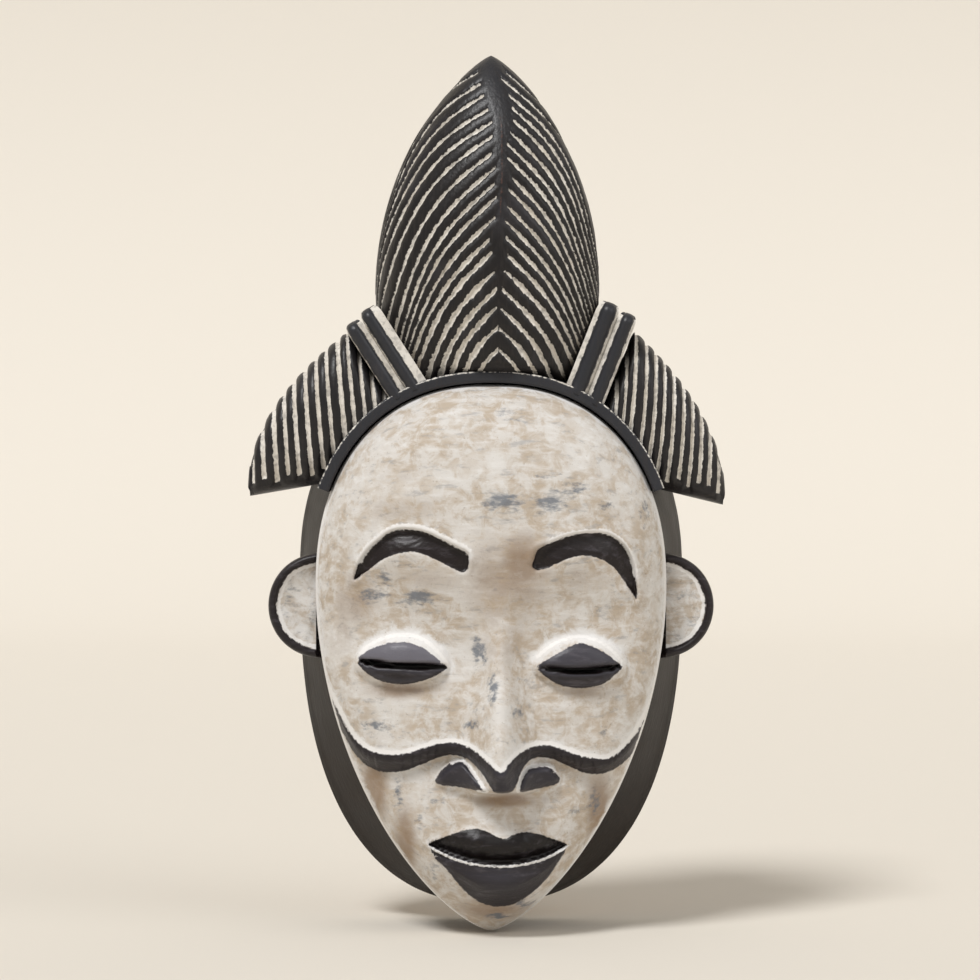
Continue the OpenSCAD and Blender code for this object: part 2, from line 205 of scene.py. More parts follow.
def gap(x, z, line, closed=False, reach=14.0):
    """Distance in mm to a line, capped at reach. Inside a closed line it is positive, outside negative."""
    a = line
    b = np.roll(line, -1, axis=0) if closed else line[1:]
    a = a if closed else a[:-1]
    lo, hi = line.min(0) - reach, line.max(0) + reach
    near = np.flatnonzero((x > lo[0]) & (x < hi[0]) & (z > lo[1]) & (z < hi[1]))
    far = np.full(x.shape, reach)
    inside = np.zeros(x.shape, bool)
    px, pz = x[near], z[near]
    best = np.full(px.shape, reach ** 2)
    odd = np.zeros(px.shape, bool)
    for (ax, az), (bx, bz) in zip(a, b):
        dx, dz = bx - ax, bz - az
        t = np.clip(((px - ax) * dx + (pz - az) * dz) / (dx * dx + dz * dz + 1e-12), 0, 1)
        best = np.minimum(best, (px - ax - t * dx) ** 2 + (pz - az - t * dz) ** 2)
        if closed and az != bz:
            odd ^= ((az > pz) != (bz > pz)) & (px < (bx - ax) * (pz - az) / (bz - az) + ax)
    far[near] = np.sqrt(best)
    inside[near] = odd
    return np.where(inside, far, -far) if closed else far


# The cut lines, in mm from the face's centre. They are drawn on a flat board, BOARD off the wall,
# and carried back onto the dome along the line of sight. LEVEL_X and LEVEL_Z lie straight ahead.
BOARD, LEVEL_X, LEVEL_Z = 86, -0.4, 43.25
BROW_LEFT = flow([(-60, 4), (-58, 11), (-54, 17), (-49, 21.5), (-44, 25), (-38, 26), (-30, 25), (-22, 21.5),
                  (-15, 18), (-10.5, 15.5), (-9.8, 12), (-10.2, 8.5), (-13, 7.2), (-20, 10.5), (-27, 14),
                  (-34, 16), (-40, 15.5), (-47, 13), (-52, 9.5), (-56, 6.5)], True, 4)
BROW_RIGHT = flow([(19, 13), (20.5, 17), (26, 20), (34, 23), (42, 24.3), (50, 24), (56, 21), (60, 16.5),
                   (62.5, 10), (63.6, 3), (64, -4.5), (62, -2), (58, 4), (54, 9), (49, 12.5), (42, 14.5),
                   (35, 13.5), (29, 11), (24, 8.8), (20, 8), (18.2, 10)], True, 4)
LID_LEFT = flow([(-58, -30.5), (-53, -26.5), (-46, -24), (-38, -23.2), (-31, -25.2), (-25, -29),
                 (-21, -33.5), (-28, -33), (-40, -33), (-52, -31.5)], True, 4)
LID_RIGHT = flow([(20, -34), (26, -30), (32, -26.5), (38, -23.8), (43, -24.6), (49, -27.4), (54, -31),
                  (57, -34), (48, -34), (38, -34.6), (28, -34.6)], True, 4)
UNDER_LEFT = flow([(-58.5, -32), (-52, -33), (-40, -34.3), (-28, -34.6), (-19.5, -34.6), (-22, -36.6),
                   (-28, -39.5), (-36, -41.6), (-44, -41.3), (-52, -38.4)], True, 4)
UNDER_RIGHT = flow([(20, -34.5), (28, -35.6), (40, -36.4), (50, -35.4), (57.5, -33.6), (53, -38.4),
                    (48, -42), (40, -43.6), (32, -42.6), (26, -40)], True, 4)
BAND_TOP = flow([(-72, -42), (-69, -48), (-66, -54), (-61, -63), (-56, -68.5), (-50, -71.5), (-44, -72.3),
                 (-38, -71.8), (-31, -69.8), (-24, -67.7), (-17, -67), (-10, -68.5), (-4, -71.8), (0, -75),
                 (3, -77.6), (4.6, -78.2), (6, -76.5), (8, -73.8), (11, -71.5), (16, -69), (21, -68),
                 (27, -68.5), (33, -70.5), (40, -73), (47, -74), (52, -73.5), (57, -70), (62, -64.5),
                 (66, -58), (69.5, -51), (73, -43)], False, 4)
BAND_FOOT = flow([(73, -49), (70, -57), (66.5, -65), (61.5, -73), (56, -78), (50, -81), (43, -81.5),
                  (36, -79), (30, -76), (25, -74.2), (19, -74), (15.5, -76), (13, -80), (11, -85), (9, -88),
                  (5, -89.2), (1.5, -88), (-1, -84.5), (-4, -80), (-8, -76), (-12, -73.8), (-18, -73),
                  (-24, -74.5), (-32, -78), (-40, -80.5), (-48, -80.5), (-55, -77.5), (-60, -72),
                  (-63.5, -66), (-68, -57), (-72, -48)], False, 4)
BAND = np.vstack([BAND_TOP, BAND_FOOT])
WING_LEFT = flow([(-24.5, -84.5), (-22, -80), (-17.5, -76.2), (-13, -75), (-10, -77), (-7, -81),
                  (-3.5, -85.5), (-2, -88.5), (-8, -87.6), (-16, -86.8), (-22, -86.2)], True, 3)
WING_RIGHT = flow([(12, -88.6), (12.8, -83), (15, -79), (17.5, -77.5), (25.5, -77.3), (28, -80),
                   (30.3, -83.8), (28, -86), (20, -87.6)], True, 3)
UPPER_LIP = flow([(-27.5, -112), (-20, -108.5), (-13, -106), (-8, -105), (-3, -105.6), (1.5, -107.8),
                  (6, -109.2), (9.5, -107.6), (14, -106.4), (20, -107), (27, -109.5), (33.5, -112.4),
                  (27, -116), (20, -118.4), (10, -120.2), (2, -120.5), (-8, -119.5), (-16, -117.5),
                  (-22, -115.2)], True, 4)
LIP_LINE = flow([(-27.5, -112.6), (-22, -115.6), (-16, -118), (-8, -120), (2, -121), (10, -120.8),
                 (20, -119), (27, -116.4), (33.5, -112.6)], False, 5)
LOWER_LIP = flow([(-25, -117.2), (-16, -119.2), (-8, -121), (2, -122), (10, -121.8), (20, -120),
                  (27, -117.4), (32.5, -114.2), (30, -118.6), (25, -126), (18, -133), (10, -138),
                  (3, -139.2), (-4, -137.6), (-10, -133.6), (-16, -127), (-20, -122)], True, 4)
EYE_RIM_LEFT = flow([(-57, -28), (-53, -24.5), (-47, -21.6), (-40, -20.2), (-33, -20.8), (-27, -24),
                     (-22, -29), (-18.5, -34)], False, 4)
EYE_RIM_RIGHT = flow([(20, -30), (26, -25), (33, -21.8), (40, -20.9), (47, -23), (53, -27), (57, -31.5)],
                     False, 4)
SLIT_LEFT = flow([(-57, -31), (-52, -31.4), (-40, -32.8), (-28, -33.1), (-20, -34), (-28, -34.9),
                  (-40, -34.6), (-52, -33.3)], True, 3)
SLIT_RIGHT = flow([(22, -34.4), (30, -34.6), (38, -34.8), (48, -34.2), (56, -33.7), (50, -35.6),
                   (40, -36.6), (30, -36)], True, 3)


def face_base(x, z):
    """How far the smooth face stands in front of its seat."""
    fall = np.clip(1 - np.abs(x / half_width(FACE, z)) ** 2.8, 0, 1) ** 0.5
    fall = fall * np.clip(1 - (np.abs(z) / np.where(z > 0, RISE, FALL)) ** 3.4, 0, 1) ** 0.5
    top = 45 - 9 * smooth(20, -35, z) + 4 * smooth(-60, -110, z) - 8 * smooth(-FALL * 0.85, -FALL, z)
    return SEAT_EDGE + (top - SEAT_EDGE) * fall, smooth(0, 0.5, fall)


def face_cut(x, z):
    """The carved face: how far each point stands out, and what its paint needs to know."""
    base, middle = face_base(x, z)
    # the point carried along the line of sight to the board that the cut lines are drawn on
    near = (EYE_AWAY - (BOARD - PLANE)) / (EYE_AWAY - (SEAT + base - PLANE))
    sx, sz = LEVEL_X + (x - LEVEL_X) * near, LEVEL_Z + (z - LEVEL_Z) * near
    # the nose grows from between the brows, and ends square above the lip
    nose_run = smooth(10, -78, z)
    nose_end = smooth(-92, -87.5, z)
    nose = NOSE_OUT * nose_run * nose_end * hump(x - NOSE_X, 7 + 5 * smooth(-20, -80, z))
    mouth = MOUTH_OUT * hump(x - 3, 26) * hump(z + 121, 18)
    # the moulding is a ledge: the cheek swells down to its upper edge, and the wood below is cut back
    band = gap(sx, sz, BAND, True)
    below = gap(sx, sz, BAND_TOP, False, 40)
    under = np.where((band > 0) | (sz < np.interp(sx, BAND_TOP[:, 0], BAND_TOP[:, 1])), below, -below)
    ledge = np.where(under < 7.5, 3.0 - 6.0 * smooth(0, 7.5, under), -3.0 * hump(under - 7.5, 24))
    step = np.where(under < 0, 3.0 * hump(under, 26), ledge)
    height = base + middle * (nose + mouth + step * smooth(0, -30, z - 8))
    height += 1.5 * smooth(-0.4, 3.2, band)
    # brows: a knife cut straight in at the top that runs out towards the eye
    # the moulding's stain is greyer at the nose tip: a painted highlight
    inks, tones = [band], [np.full(x.shape, 0.25) + 0.75 * hump(x - NOSE_X - 1, 7) * hump(z + 82, 8)]
    for side, brow in ((-1, BROW_LEFT), (1, BROW_RIGHT)):
        d = gap(sx, sz, brow, True)
        half = len(brow) // 2
        top_edge = brow[:half + 1] if side < 0 else brow[:half + 4]
        from_top = gap(sx, sz, top_edge, False, 9)
        height -= np.where(d > -0.6, 2.6 * smooth(-0.6, 0.5, d) * (1 - 0.75 * smooth(1, 9, from_top)), 0)
        height += 0.7 * hump(from_top - 1.2, 1.6) * (d < 0)
        inks.append(d)
        tones.append(np.zeros(x.shape))
    # eyes: a ball under two lids, in a shallow socket
    for cx, cz, lid, lower, slit in ((-39, -33, LID_LEFT, UNDER_LEFT, SLIT_LEFT),
                                     (39, -34, LID_RIGHT, UNDER_RIGHT, SLIT_RIGHT)):
        height -= 2.6 * hump(x - cx * 1.02, 24) * hump(z + 8, 15)
        ball = ((sx - cx) / 21) ** 2 + ((sz - cz) / np.where(sz > cz, 13.0, 9.3)) ** 2
        height += 7 * np.clip(1 - ball, 0, 1) ** 0.55
        up, lo = gap(sx, sz, lid, True), gap(sx, sz, lower, True)
        height += 1.0 * smooth(-0.3, 1.2, up) - 1.4 * smooth(3.2, 7.5, lo) + 0.5 * hump(lo - 1.2, 1.2)
        height -= 9 * smooth(-0.7, 0.7, gap(sx, sz, slit, True))
        inks += [up, lo]
        # the lower lid's stain has a grey line just inside its edge: a painted highlight
        tones += [np.full(x.shape, 1.6 if cx < 0 else 1.1), 1.0 * hump(lo - 1.5, 1.5)]
    # nostrils, and lips that are full and parted by a raised line
    for wing in (WING_LEFT, WING_RIGHT):
        d = gap(sx, sz, wing, True)
        height += 6.5 * smooth(-1.2, 2.5, d) * (0.55 + 0.45 * smooth(-88, -78, sz))
        inks.append(d)
        tones.append(np.full(x.shape, 0.8))
    upper, lower = gap(sx, sz, UPPER_LIP, True), gap(sx, sz, LOWER_LIP, True)
    seam = gap(sx, sz, LIP_LINE, False, 14)
    dip = 5.0 * smooth(12, 0, seam) * smooth(0, 1, upper)
    height += np.where(upper > -1, 1.4 * smooth(-1, 0.4, upper) + 2.0 * smooth(0, 6, upper) - dip, 0)
    full = 1.6 * smooth(-0.8, 0.5, lower) + 3.4 * smooth(0, 8, lower)
    height += full * smooth(32, 12, -sz - 112) + 0.8 * hump(seam, 1.0) * (sz < -111)
    # the stain takes the tone of the shape that a point is deepest in
    inks += [upper, lower]
    # the lower lip's stain is slate grey, and greyer in its middle as a painted highlight
    tones += [np.full(x.shape, -0.5), 0.35 + 0.6 * hump(x - 4, 12) * hump(z + 126, 8)]
    inks, tones = np.array(inks), np.array(tones)
    first = inks.argmax(0)
    ink = inks.max(0)
    tone = np.take_along_axis(tones, first[None], 0)[0]
    opened = np.maximum(gap(sx, sz, SLIT_LEFT, True), gap(sx, sz, SLIT_RIGHT, True))
    ink = np.maximum.reduce([ink, opened + 0.9, np.where(np.abs(sx - 3) < 29, 1.3 - seam, -8)])
    # inside the eye slits the stain turns dead black: painted shade in the deep cut
    tone = tone + (-1.5 - tone) * smooth(-0.9, 0.5, opened)
    # a thin white line along the face's outline is a painted highlight on its edge
    over = RISE * (1 - np.clip(np.abs(x) / FACE_HALF, 0, 1) ** (1 / FACE[4])) ** (1 / FACE[3]) - z
    rim = np.minimum(half_width(FACE, z) - np.abs(x), np.where(z > 0, over, 40))
    edge = np.minimum(np.abs(rim - 0.4), 14)
    white = np.minimum.reduce([
        gap(sx, sz, BAND_TOP + (0, 0.7), False) / 1.15,
        gap(sx, sz, BROW_LEFT[4:38] + (0.2, 1.3), False) / 1.5,
        gap(sx, sz, BROW_RIGHT[8:36] + (0, 0.9), False) / 1.1,
        gap(sx, sz, EYE_RIM_LEFT, False) / 0.9,
        gap(sx, sz, EYE_RIM_RIGHT, False) / 0.8,
        gap(sx, sz, WING_LEFT[6:24], False) / 0.9,
        gap(sx, sz, WING_RIGHT[:16], False) / 0.9,
        gap(sx, sz, LIP_LINE, False) / 0.6,
        edge / 1.1])
    # and what it needs to know of the wash: how thickly it lies by each raised edge
    near_edge = np.minimum.reduce([gap(sx, sz, EYE_RIM_LEFT), gap(sx, sz, EYE_RIM_RIGHT),
                                   gap(sx, sz, BAND_TOP) + 1, gap(sx, sz, BROW_LEFT[4:38]) + 1.5,
                                   gap(sx, sz, BROW_RIGHT[8:36]) + 2, rim + 1])
    return height, np.clip(ink, -8, 8), tone, np.clip(white, 0, 8), smooth(6, 0, near_edge)


def face_grid(columns, rows):
    """Rows of points across the face: evenly spread in the middle, closer towards the edge."""
    t = np.linspace(-1, 1, columns + 1)
    across = 0.45 * t + 0.55 * np.sin(t * math.pi / 2)
    s = np.linspace(-1, 1, rows + 1)
    up = (0.5 * s + 0.5 * np.sin(s * math.pi / 2)) * 0.9992
    z = up * np.where(up > 0, RISE, FALL)
    wide = half_width(FACE, z)
    return across[None, :] * wide[:, None], np.repeat(z[:, None], columns + 1, 1)


COLUMNS, ROWS = 236, 325
fx, fz = face_grid(COLUMNS, ROWS)
stand, ink, tone, white, wash = face_cut(fx.ravel(), fz.ravel())
front = np.column_stack([fx.ravel(), -SEAT - stand, FACE_Z + fz.ravel()])
# the gouge leaves the whole front very slightly uneven
rng = np.random.default_rng(7)
wave = sum(a * np.sin(fx.ravel() * u + fz.ravel() * v + w) for a, u, v,
           w in zip(rng.uniform(0.05, 0.12, 9), rng.uniform(-0.35, 0.35, 9), rng.uniform(-0.3, 0.3, 9),
                    rng.uniform(0, 6, 9)))
front[:, 1] -= wave * smooth(0, 3, np.minimum(14, half_width(FACE, fz.ravel()) - np.abs(fx.ravel())))

# the rim of the front, walked once round
line = np.arange((ROWS + 1) * (COLUMNS + 1)).reshape(ROWS + 1, COLUMNS + 1)
rim = np.concatenate([line[0, :], line[1:, -1], line[-1, -2::-1], line[-2:0:-1, 0]])
quads = np.stack([line[:-1, :-1], line[:-1, 1:], line[1:, 1:], line[1:, :-1]], -1).reshape(-1, 4)

# from the rim the side drops to the seat, turns in to the hollow, and the hollow rises to a dome
HOLLOW = (FACE_HALF - 2 - 8.5, 72, 123, 2.25, 0.44, 1.89, 0.62)
SHELL_Z = FACE_Z + 4
DOME = 24
edge = front[rim]


def at(x, depth, z):
    """Points from a place across, a depth in front of the wall and a height, in mm."""
    places = (np.asarray(x, float), -np.asarray(depth, float), np.asarray(z, float))
    return np.column_stack(np.broadcast_arrays(*places))


turn = np.arctan2((edge[:, 2] - SHELL_Z) / np.where(edge[:, 2] > SHELL_Z, HOLLOW[1], HOLLOW[2]),
                  edge[:, 0] / HOLLOW[0])
hx, hz = egg(HOLLOW, turn)
rings = [at(edge[:, 0], SEAT + SEAT_EDGE * k, edge[:, 2]) for k in (0.72, 0.4, 0.1)]
rings.append(at(edge[:, 0] * 0.996, SEAT, FACE_Z + (edge[:, 2] - FACE_Z) * 0.997))
rings.append(at(hx, SEAT, SHELL_Z + hz))
for a in np.radians([6, 14, 24, 34, 44, 54, 64, 73, 81, 86]):
    rings.append(at(hx * math.cos(a), SEAT + DOME * math.sin(a), SHELL_Z + hz * math.cos(a)))
count, around = len(front), len(rim)
points = [front] + rings + [np.array([[0, -SEAT - DOME, SHELL_Z - 4]])]
faces = quads.tolist()
last = rim
for k in range(len(rings)):
    here = count + k * around + np.arange(around)
    faces += np.stack([last, here, np.roll(here, -1), np.roll(last, -1)], -1).tolist()
    last = here
crown = count + len(rings) * around
faces += [(int(a), crown, int(b)) for a, b in zip(last, np.roll(last, -1))]
points = np.vstack(points)


def marked(piece, **values):
    """Per-point values that the piece's finish reads."""
    for name, numbers in values.items():
        piece.data.attributes.new(name, "FLOAT",
                                  "POINT").data.foreach_set("value", np.asarray(numbers, np.float32))


# Limewash on wood: thin chalky paint brushed on and rubbed, dead matt, with the brown wood
# breathing through it, and the same brown laid on as painted shade under the eyes and nose and on
# the jaw and chin. The black is a stain under wax, so it is smoother and has a soft shine.
whitewash, tree, shader = finish_named("whitewash_over_wood_with_black_stain")
place = add(tree, "ShaderNodeTexCoord").outputs["Object"]
held = {name: add(tree, "ShaderNodeAttribute", attribute_name=name).outputs["Fac"]
        for name in ("ink", "tone", "white", "wash", "rub", "bruise")}
clouds = add(tree, "ShaderNodeTexNoise", {"Vector": place, "Scale": 36, "Detail": 4, "Roughness": 0.6})
daubs = add(tree, "ShaderNodeTexNoise", {"Vector": place, "Scale": 130, "Detail": 5, "Roughness": 0.7,
                                         "Distortion": 0.5})
strokes = add(tree, "ShaderNodeMapping", {"Vector": place, "Rotation": (0, 0.35, 0), "Scale": (75, 330, 330)})
brushed = add(tree, "ShaderNodeTexNoise", {"Vector": strokes, "Scale": 1.0, "Detail": 6, "Roughness": 0.6})
grain = add(tree, "ShaderNodeTexNoise", {"Vector": place, "Scale": 900, "Detail": 3})
# brown wood where the wash is worn through, and brown laid on as painted shade under the eyes and nose and on
# the jaw and chin
rubbed = add(tree, "ShaderNodeMath", {0: clouds, 1: 1.1, 2: held["rub"]}, operation="MULTIPLY_ADD")
rubbed = add(tree, "ShaderNodeMath", {0: daubs, 1: 1.0, 2: rubbed}, operation="MULTIPLY_ADD")
laid_on = add(tree, "ShaderNodeMath", {0: daubs, 1: 1.6, 2: held["wash"]}, operation="MULTIPLY_ADD")
scuffs = add(tree, "ShaderNodeMapping", {"Vector": place, "Rotation": (0, -0.5, 0), "Scale": (190, 420, 420)})
scuffs = add(tree, "ShaderNodeTexNoise", {"Vector": scuffs, "Scale": 1.0, "Detail": 5, "Roughness": 0.65})
knocks = add(tree, "ShaderNodeMath", {0: scuffs, 1: 2.6, 2: held["bruise"]}, operation="MULTIPLY_ADD")
# chalk, thicker and thinner, with everything that lies over it
thick = add(tree, "ShaderNodeMapRange", {0: daubs, 1: 0.4, 2: 0.6}, interpolation_type="SMOOTHSTEP")
chalk = add(tree, "ShaderNodeMix", {0: thick, 6: paint("#b9ab9a"), 7: paint("#cfcac4")},
            data_type="RGBA").outputs[2]
for what, low, high, most, tint in (
        (clouds, 0.44, 0.68, 0.7, "#dbd9d6"),      # clouds of whiter wash
        (brushed, 0.46, 0.74, 0.5, "#e6e5e4"),     # the brush's marks
        (brushed, 0.44, 0.3, 0.5, "#949496"),      # bluish where they are thin
        (rubbed, 1.25, 2.05, 0.75, "#8a7055"),     # wood where it is rubbed through, and brown laid on as painted shade under the eyes and nose and on the jaw and chin
        (laid_on, 0.95, 1.6, 0.85, "#e2e1e0"),     # thick wash along raised edges
        (knocks, 1.6, 2.4, 0.85, "#686f79"),       # dark scuffs, streaky
        (grain, 0.66, 0.72, 0.4, "#8f7f6c")):      # specks
    share = add(tree, "ShaderNodeMapRange", {0: what, 1: low, 2: high, 4: most},
                interpolation_type="SMOOTHSTEP")
    chalk = add(tree, "ShaderNodeMix", {0: share, 6: chalk, 7: paint(tint)}, data_type="RGBA").outputs[2]
# the stain: greyer where tone is high, which on the lower lids, the nose tip and the middle of the lower lip is
# a painted highlight; dead black below zero, which in the eye slits is painted shade; and paler where the brush
# ran dry
stain = paint("#1b1313")
for low, high, tint in ((0, 1, "#35333a"), (1, 2, "#7d7b84"), (0, -1, "#0b0a0a")):
    share = add(tree, "ShaderNodeMapRange", {0: held["tone"], 1: low, 2: high})
    stain = add(tree, "ShaderNodeMix", {0: share, 6: stain, 7: paint(tint)}, data_type="RGBA").outputs[2]
dry = add(tree, "ShaderNodeMapRange", {0: brushed, 1: 0.5, 2: 0.8, 4: 0.3}, interpolation_type="SMOOTHSTEP")
stain = add(tree, "ShaderNodeMix", {0: dry, 6: stain, 7: paint("#77727a")}, data_type="RGBA").outputs[2]
# the edge of the stain is ragged, and so are the white lines: paint rubbed back to white by the features, and a
# painted highlight along the face's outline
ragged = add(tree, "ShaderNodeTexNoise", {"Vector": place, "Scale": 620, "Detail": 4})
inked = add(tree, "ShaderNodeMath", {0: ragged, 1: 1.3, 2: held["ink"]}, operation="MULTIPLY_ADD")
inked = add(tree, "ShaderNodeMapRange", {0: inked, 1: 0.4, 2: 0.9}, interpolation_type="SMOOTHSTEP")
colour = add(tree, "ShaderNodeMix", {0: inked, 6: chalk, 7: stain}, data_type="RGBA").outputs[2]
rims = add(tree, "ShaderNodeMath", {0: ragged, 1: 1.7, 2: held["white"]}, operation="MULTIPLY_ADD")
rims = add(tree, "ShaderNodeMapRange", {0: rims, 1: 2.0, 2: 1.4, 4: 0.94}, interpolation_type="SMOOTHSTEP")
colour = add(tree, "ShaderNodeMix", {0: rims, 6: colour, 7: paint("#eae8e6")}, data_type="RGBA").outputs[2]
tree.links.new(colour, shader.inputs["Base Color"])
shader.inputs["Specular IOR Level"].default_value = 0.35
sheen = add(tree, "ShaderNodeMapRange", {0: inked, 3: 0.75, 4: 0.4})
tree.links.new(sheen.outputs[0], shader.inputs["Roughness"])
relief = add(tree, "ShaderNodeMath", {0: brushed, 1: 0.7, 2: daubs}, operation="MULTIPLY_ADD")
bump = add(tree, "ShaderNodeBump", {"Height": relief, "Strength": 0.45, "Distance": 0.0007})
tree.links.new(bump.outputs[0], shader.inputs["Normal"])

# Bare hardwood cut with a gouge: pale brown, matt, with shallow scoops about 9 mm wide
gouged, tree, shader = finish_named("bare_hardwood_cut_with_a_gouge")
place = add(tree, "ShaderNodeTexCoord").outputs["Object"]
laid = add(tree, "ShaderNodeMapping", {"Vector": place, "Scale": (830, 830, 60)})
fibre = add(tree, "ShaderNodeTexNoise", {"Vector": laid, "Scale": 1.0, "Detail": 4})
laid = add(tree, "ShaderNodeMapping", {"Vector": place, "Scale": (110, 110, 48)})
scoops = add(tree, "ShaderNodeTexVoronoi", {"Vector": laid, "Scale": 1.0},
             feature="SMOOTH_F1").outputs["Distance"]
patches = add(tree, "ShaderNodeTexNoise", {"Vector": place, "Scale": 25, "Detail": 2})
colour = add(tree, "ShaderNodeMix", {0: fibre, 6: paint("#8a6a48"), 7: paint("#b8976b")},
             data_type="RGBA").outputs[2]
for what, low, high, most, tint in ((patches, 0.35, 0.7, 0.5, "#6f5236"), (scoops, 0.3, 0.8, 0.35, "#5d442c")):
    share = add(tree, "ShaderNodeMapRange", {0: what, 1: low, 2: high, 4: most},
                interpolation_type="SMOOTHSTEP")
    colour = add(tree, "ShaderNodeMix", {0: share, 6: colour, 7: paint(tint)}, data_type="RGBA").outputs[2]
tree.links.new(colour, shader.inputs["Base Color"])
shader.inputs["Roughness"].default_value = 0.78
relief = add(tree, "ShaderNodeMath", {0: fibre, 1: 0.12, 2: scoops}, operation="MULTIPLY_ADD")
bump = add(tree, "ShaderNodeBump", {"Height": relief, "Strength": 0.8, "Distance": 0.0016})
tree.links.new(bump.outputs[0], shader.inputs["Normal"])

# Where years of handling rubbed the wash thin, and where brown is painted shade below the eyes, under the nose,
# on the jaw's sides and on the chin (centre x, z, reach x, z, strength)
RUBS_AND_SHADE = [(8, 2, 20, 26, 0.75), (14, 12, 14, 14, 1.0), (-58, -4, 12, 14, 0.7), (8, -24, 14, 14, 0.6),
        (-38, 34, 24, 8, 0.5), (-30, 4, 26, 8, 0.45), (38, 5, 22, 8, 0.45), (4, -6, 12, 18, 0.5),
        (-66, -6, 8, 24, 0.5), (-38, -45, 18, 4, 0.8), (40, -46, 16, 4, 0.7), (6, -94, 16, 3.5, 1.1),
        (-52, -90, 7, 18, 1.1), (48, -104, 7, 24, 1.1), (-38, -114, 6, 18, 1.1), (62, 8, 8, 20, 0.35),
        (-40, 50, 14, 8, 0.35), (52, 30, 12, 8, 0.3), (0, -144, 20, 7, 0.9)]
# Dark scuffs where it was knocked
BRUISES = [(6, 38, 9, 4.5, 1.1), (26, 38, 9, 5, 1.0), (36, 43, 6, 4, 0.8), (25, 50, 6, 3, 0.6),
           (-6, -27, 3, 6, 1.1), (-3, -31, 2, 3, 0.9), (1, -44, 2.4, 8, 1.1), (12, -54, 4, 2.5, 0.8),
           (-8, -60, 4, 2.2, 1.0), (-50, -61, 8, 3, 0.9), (-47, 4, 6, 5, 0.7), (-31, -4, 10, 3.5, 1.1),
           (-52, -3, 8, 3.5, 0.9), (50, -64, 3.5, 2.5, 0.7), (-41, -92, 2, 7, 0.9), (-32, -104, 3, 3, 0.8),
           (46, -95, 3, 7, 0.9), (38, -99, 6, 1.6, 0.8), (49, -10, 7, 3, 0.5), (68, 34, 3, 8, 0.6),
           (3, -147, 5, 2, 1.1), (-36, 10, 8, 2, 0.6), (50, 36, 5, 3, 0.6), (-24, -95, 8, 3, 0.5),
           (-26, -126, 3, 8, 0.5), (16, -141, 8, 3, 0.7), (10, 76, 8, 4, 0.6)]


def spots(x, z, places):
    total = np.zeros(x.shape)
    for cx, cz, wx, wz, much in places:
        total = np.maximum(total, much * np.exp(-((x - cx) / wx) ** 2 - ((z - cz) / wz) ** 2))
    return total


def on_all(values, fill):
    """values of the front, and one value for the sides and the hollow."""
    return np.concatenate([values, np.full(len(points) - len(values), fill)])


face = solid("face_carving", points, faces, whitewash)
face.data.materials.append(gouged)
# past the rim's four rings it is bare wood
finish_of = np.zeros(len(faces), np.int32)
finish_of[len(quads) + 4 * around:] = 1
face.data.polygons.foreach_set("material_index", finish_of)
marked(face, ink=on_all(ink, -8), tone=on_all(tone, 0), white=on_all(white, 8), wash=on_all(wash, 0),
       rub=on_all(spots(fx.ravel(), fz.ravel(), RUBS_AND_SHADE), 0.8),
       bruise=on_all(spots(fx.ravel(), fz.ravel(), BRUISES), 0.0))
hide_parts("face")
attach(face, "mask")

# ---- Shell ----------------------------------------------------------------------------------
# The dark back of the mask: one block hollowed right through with a gouge, its wall 8 to 10 mm
# thick, flat where it meets the wall. Outside it is shaved in long strokes and stained brown.
SHELL_BACK = (FACE_HALF + 10, RISE + 4, FALL - 2, 2.4, 0.42, 2.5, 0.42)
SHELL_FRONT = (FACE_HALF - 2, RISE - 2, FALL - 15, 2.25, 0.44, 1.89, 0.69)
HOLLOW_BACK = (SHELL_BACK[0] - 8.5, 75, 140.5, 2.4, 0.42, 2.5, 0.42)


def lathe(rings, closed=True):
    """Points and faces of a skin over rings of equal length. closed joins its last ring to its first."""
    around, n = len(rings[0]), len(rings)
    loop = np.arange(around)
    skin = []
    for k in range(n if closed else n - 1):
        a, b = k * around + loop, ((k + 1) % n) * around + loop
        skin += np.stack([a, b, np.roll(b, -1), np.roll(a, -1)], -1).tolist()
    return np.vstack(rings), skin


turns = np.linspace(0, 2 * math.pi, 240, endpoint=False)
shaved = 0.35 * np.abs(np.sin(turns * 23 + 1.5 * np.sin(turns * 3))) + 0.3 * np.sin(turns * 7 + 1)
rings = []
for t in np.linspace(1, 0, 12):
    back, fore = egg(SHELL_BACK, turns), egg(SHELL_FRONT, turns)
    grow = (shaved - 0.4) * math.sin(math.pi * min(1, t * 1.6 + 0.05)) * 0.8
    x = back[0] + (fore[0] - back[0]) * t
    z = back[1] + (fore[1] - back[1]) * t
    norm = np.hypot(x, z)
    rings.append(at(x * (1 + grow / norm), max(SEAT * t, 1.2), SHELL_Z + z * (1 + grow / norm)))
for inset, depth in ((0.4, 0.4), (1.2, 0.0)):
    rings.append(at(back[0] * (1 - inset / 89), depth, SHELL_Z + back[1] * (1 - inset / 150)))
inner_back, inner_front = egg(HOLLOW_BACK, turns), egg(HOLLOW, turns)
rings.append(at(inner_back[0] * 1.012, 0, SHELL_Z + inner_back[1] * 1.008))
rings.append(at(inner_back[0] * 1.003, 0.4, SHELL_Z + inner_back[1] * 1.002))
scoop_row = 0.5 * np.abs(np.sin(turns * 17))
for k, t in enumerate(np.linspace(0.04, 1, 14)):
    x = inner_back[0] + (inner_front[0] - inner_back[0]) * t
    z = inner_back[1] + (inner_front[1] - inner_back[1]) * t
    cut = (scoop_row if k % 2 else np.roll(scoop_row, 7)) * (0 < k < 13)
    norm = np.hypot(x, z)
    rings.append(at(x * (1 + cut / norm), SEAT * t, SHELL_Z + z * (1 + cut / norm)))
points, faces = lathe(rings)

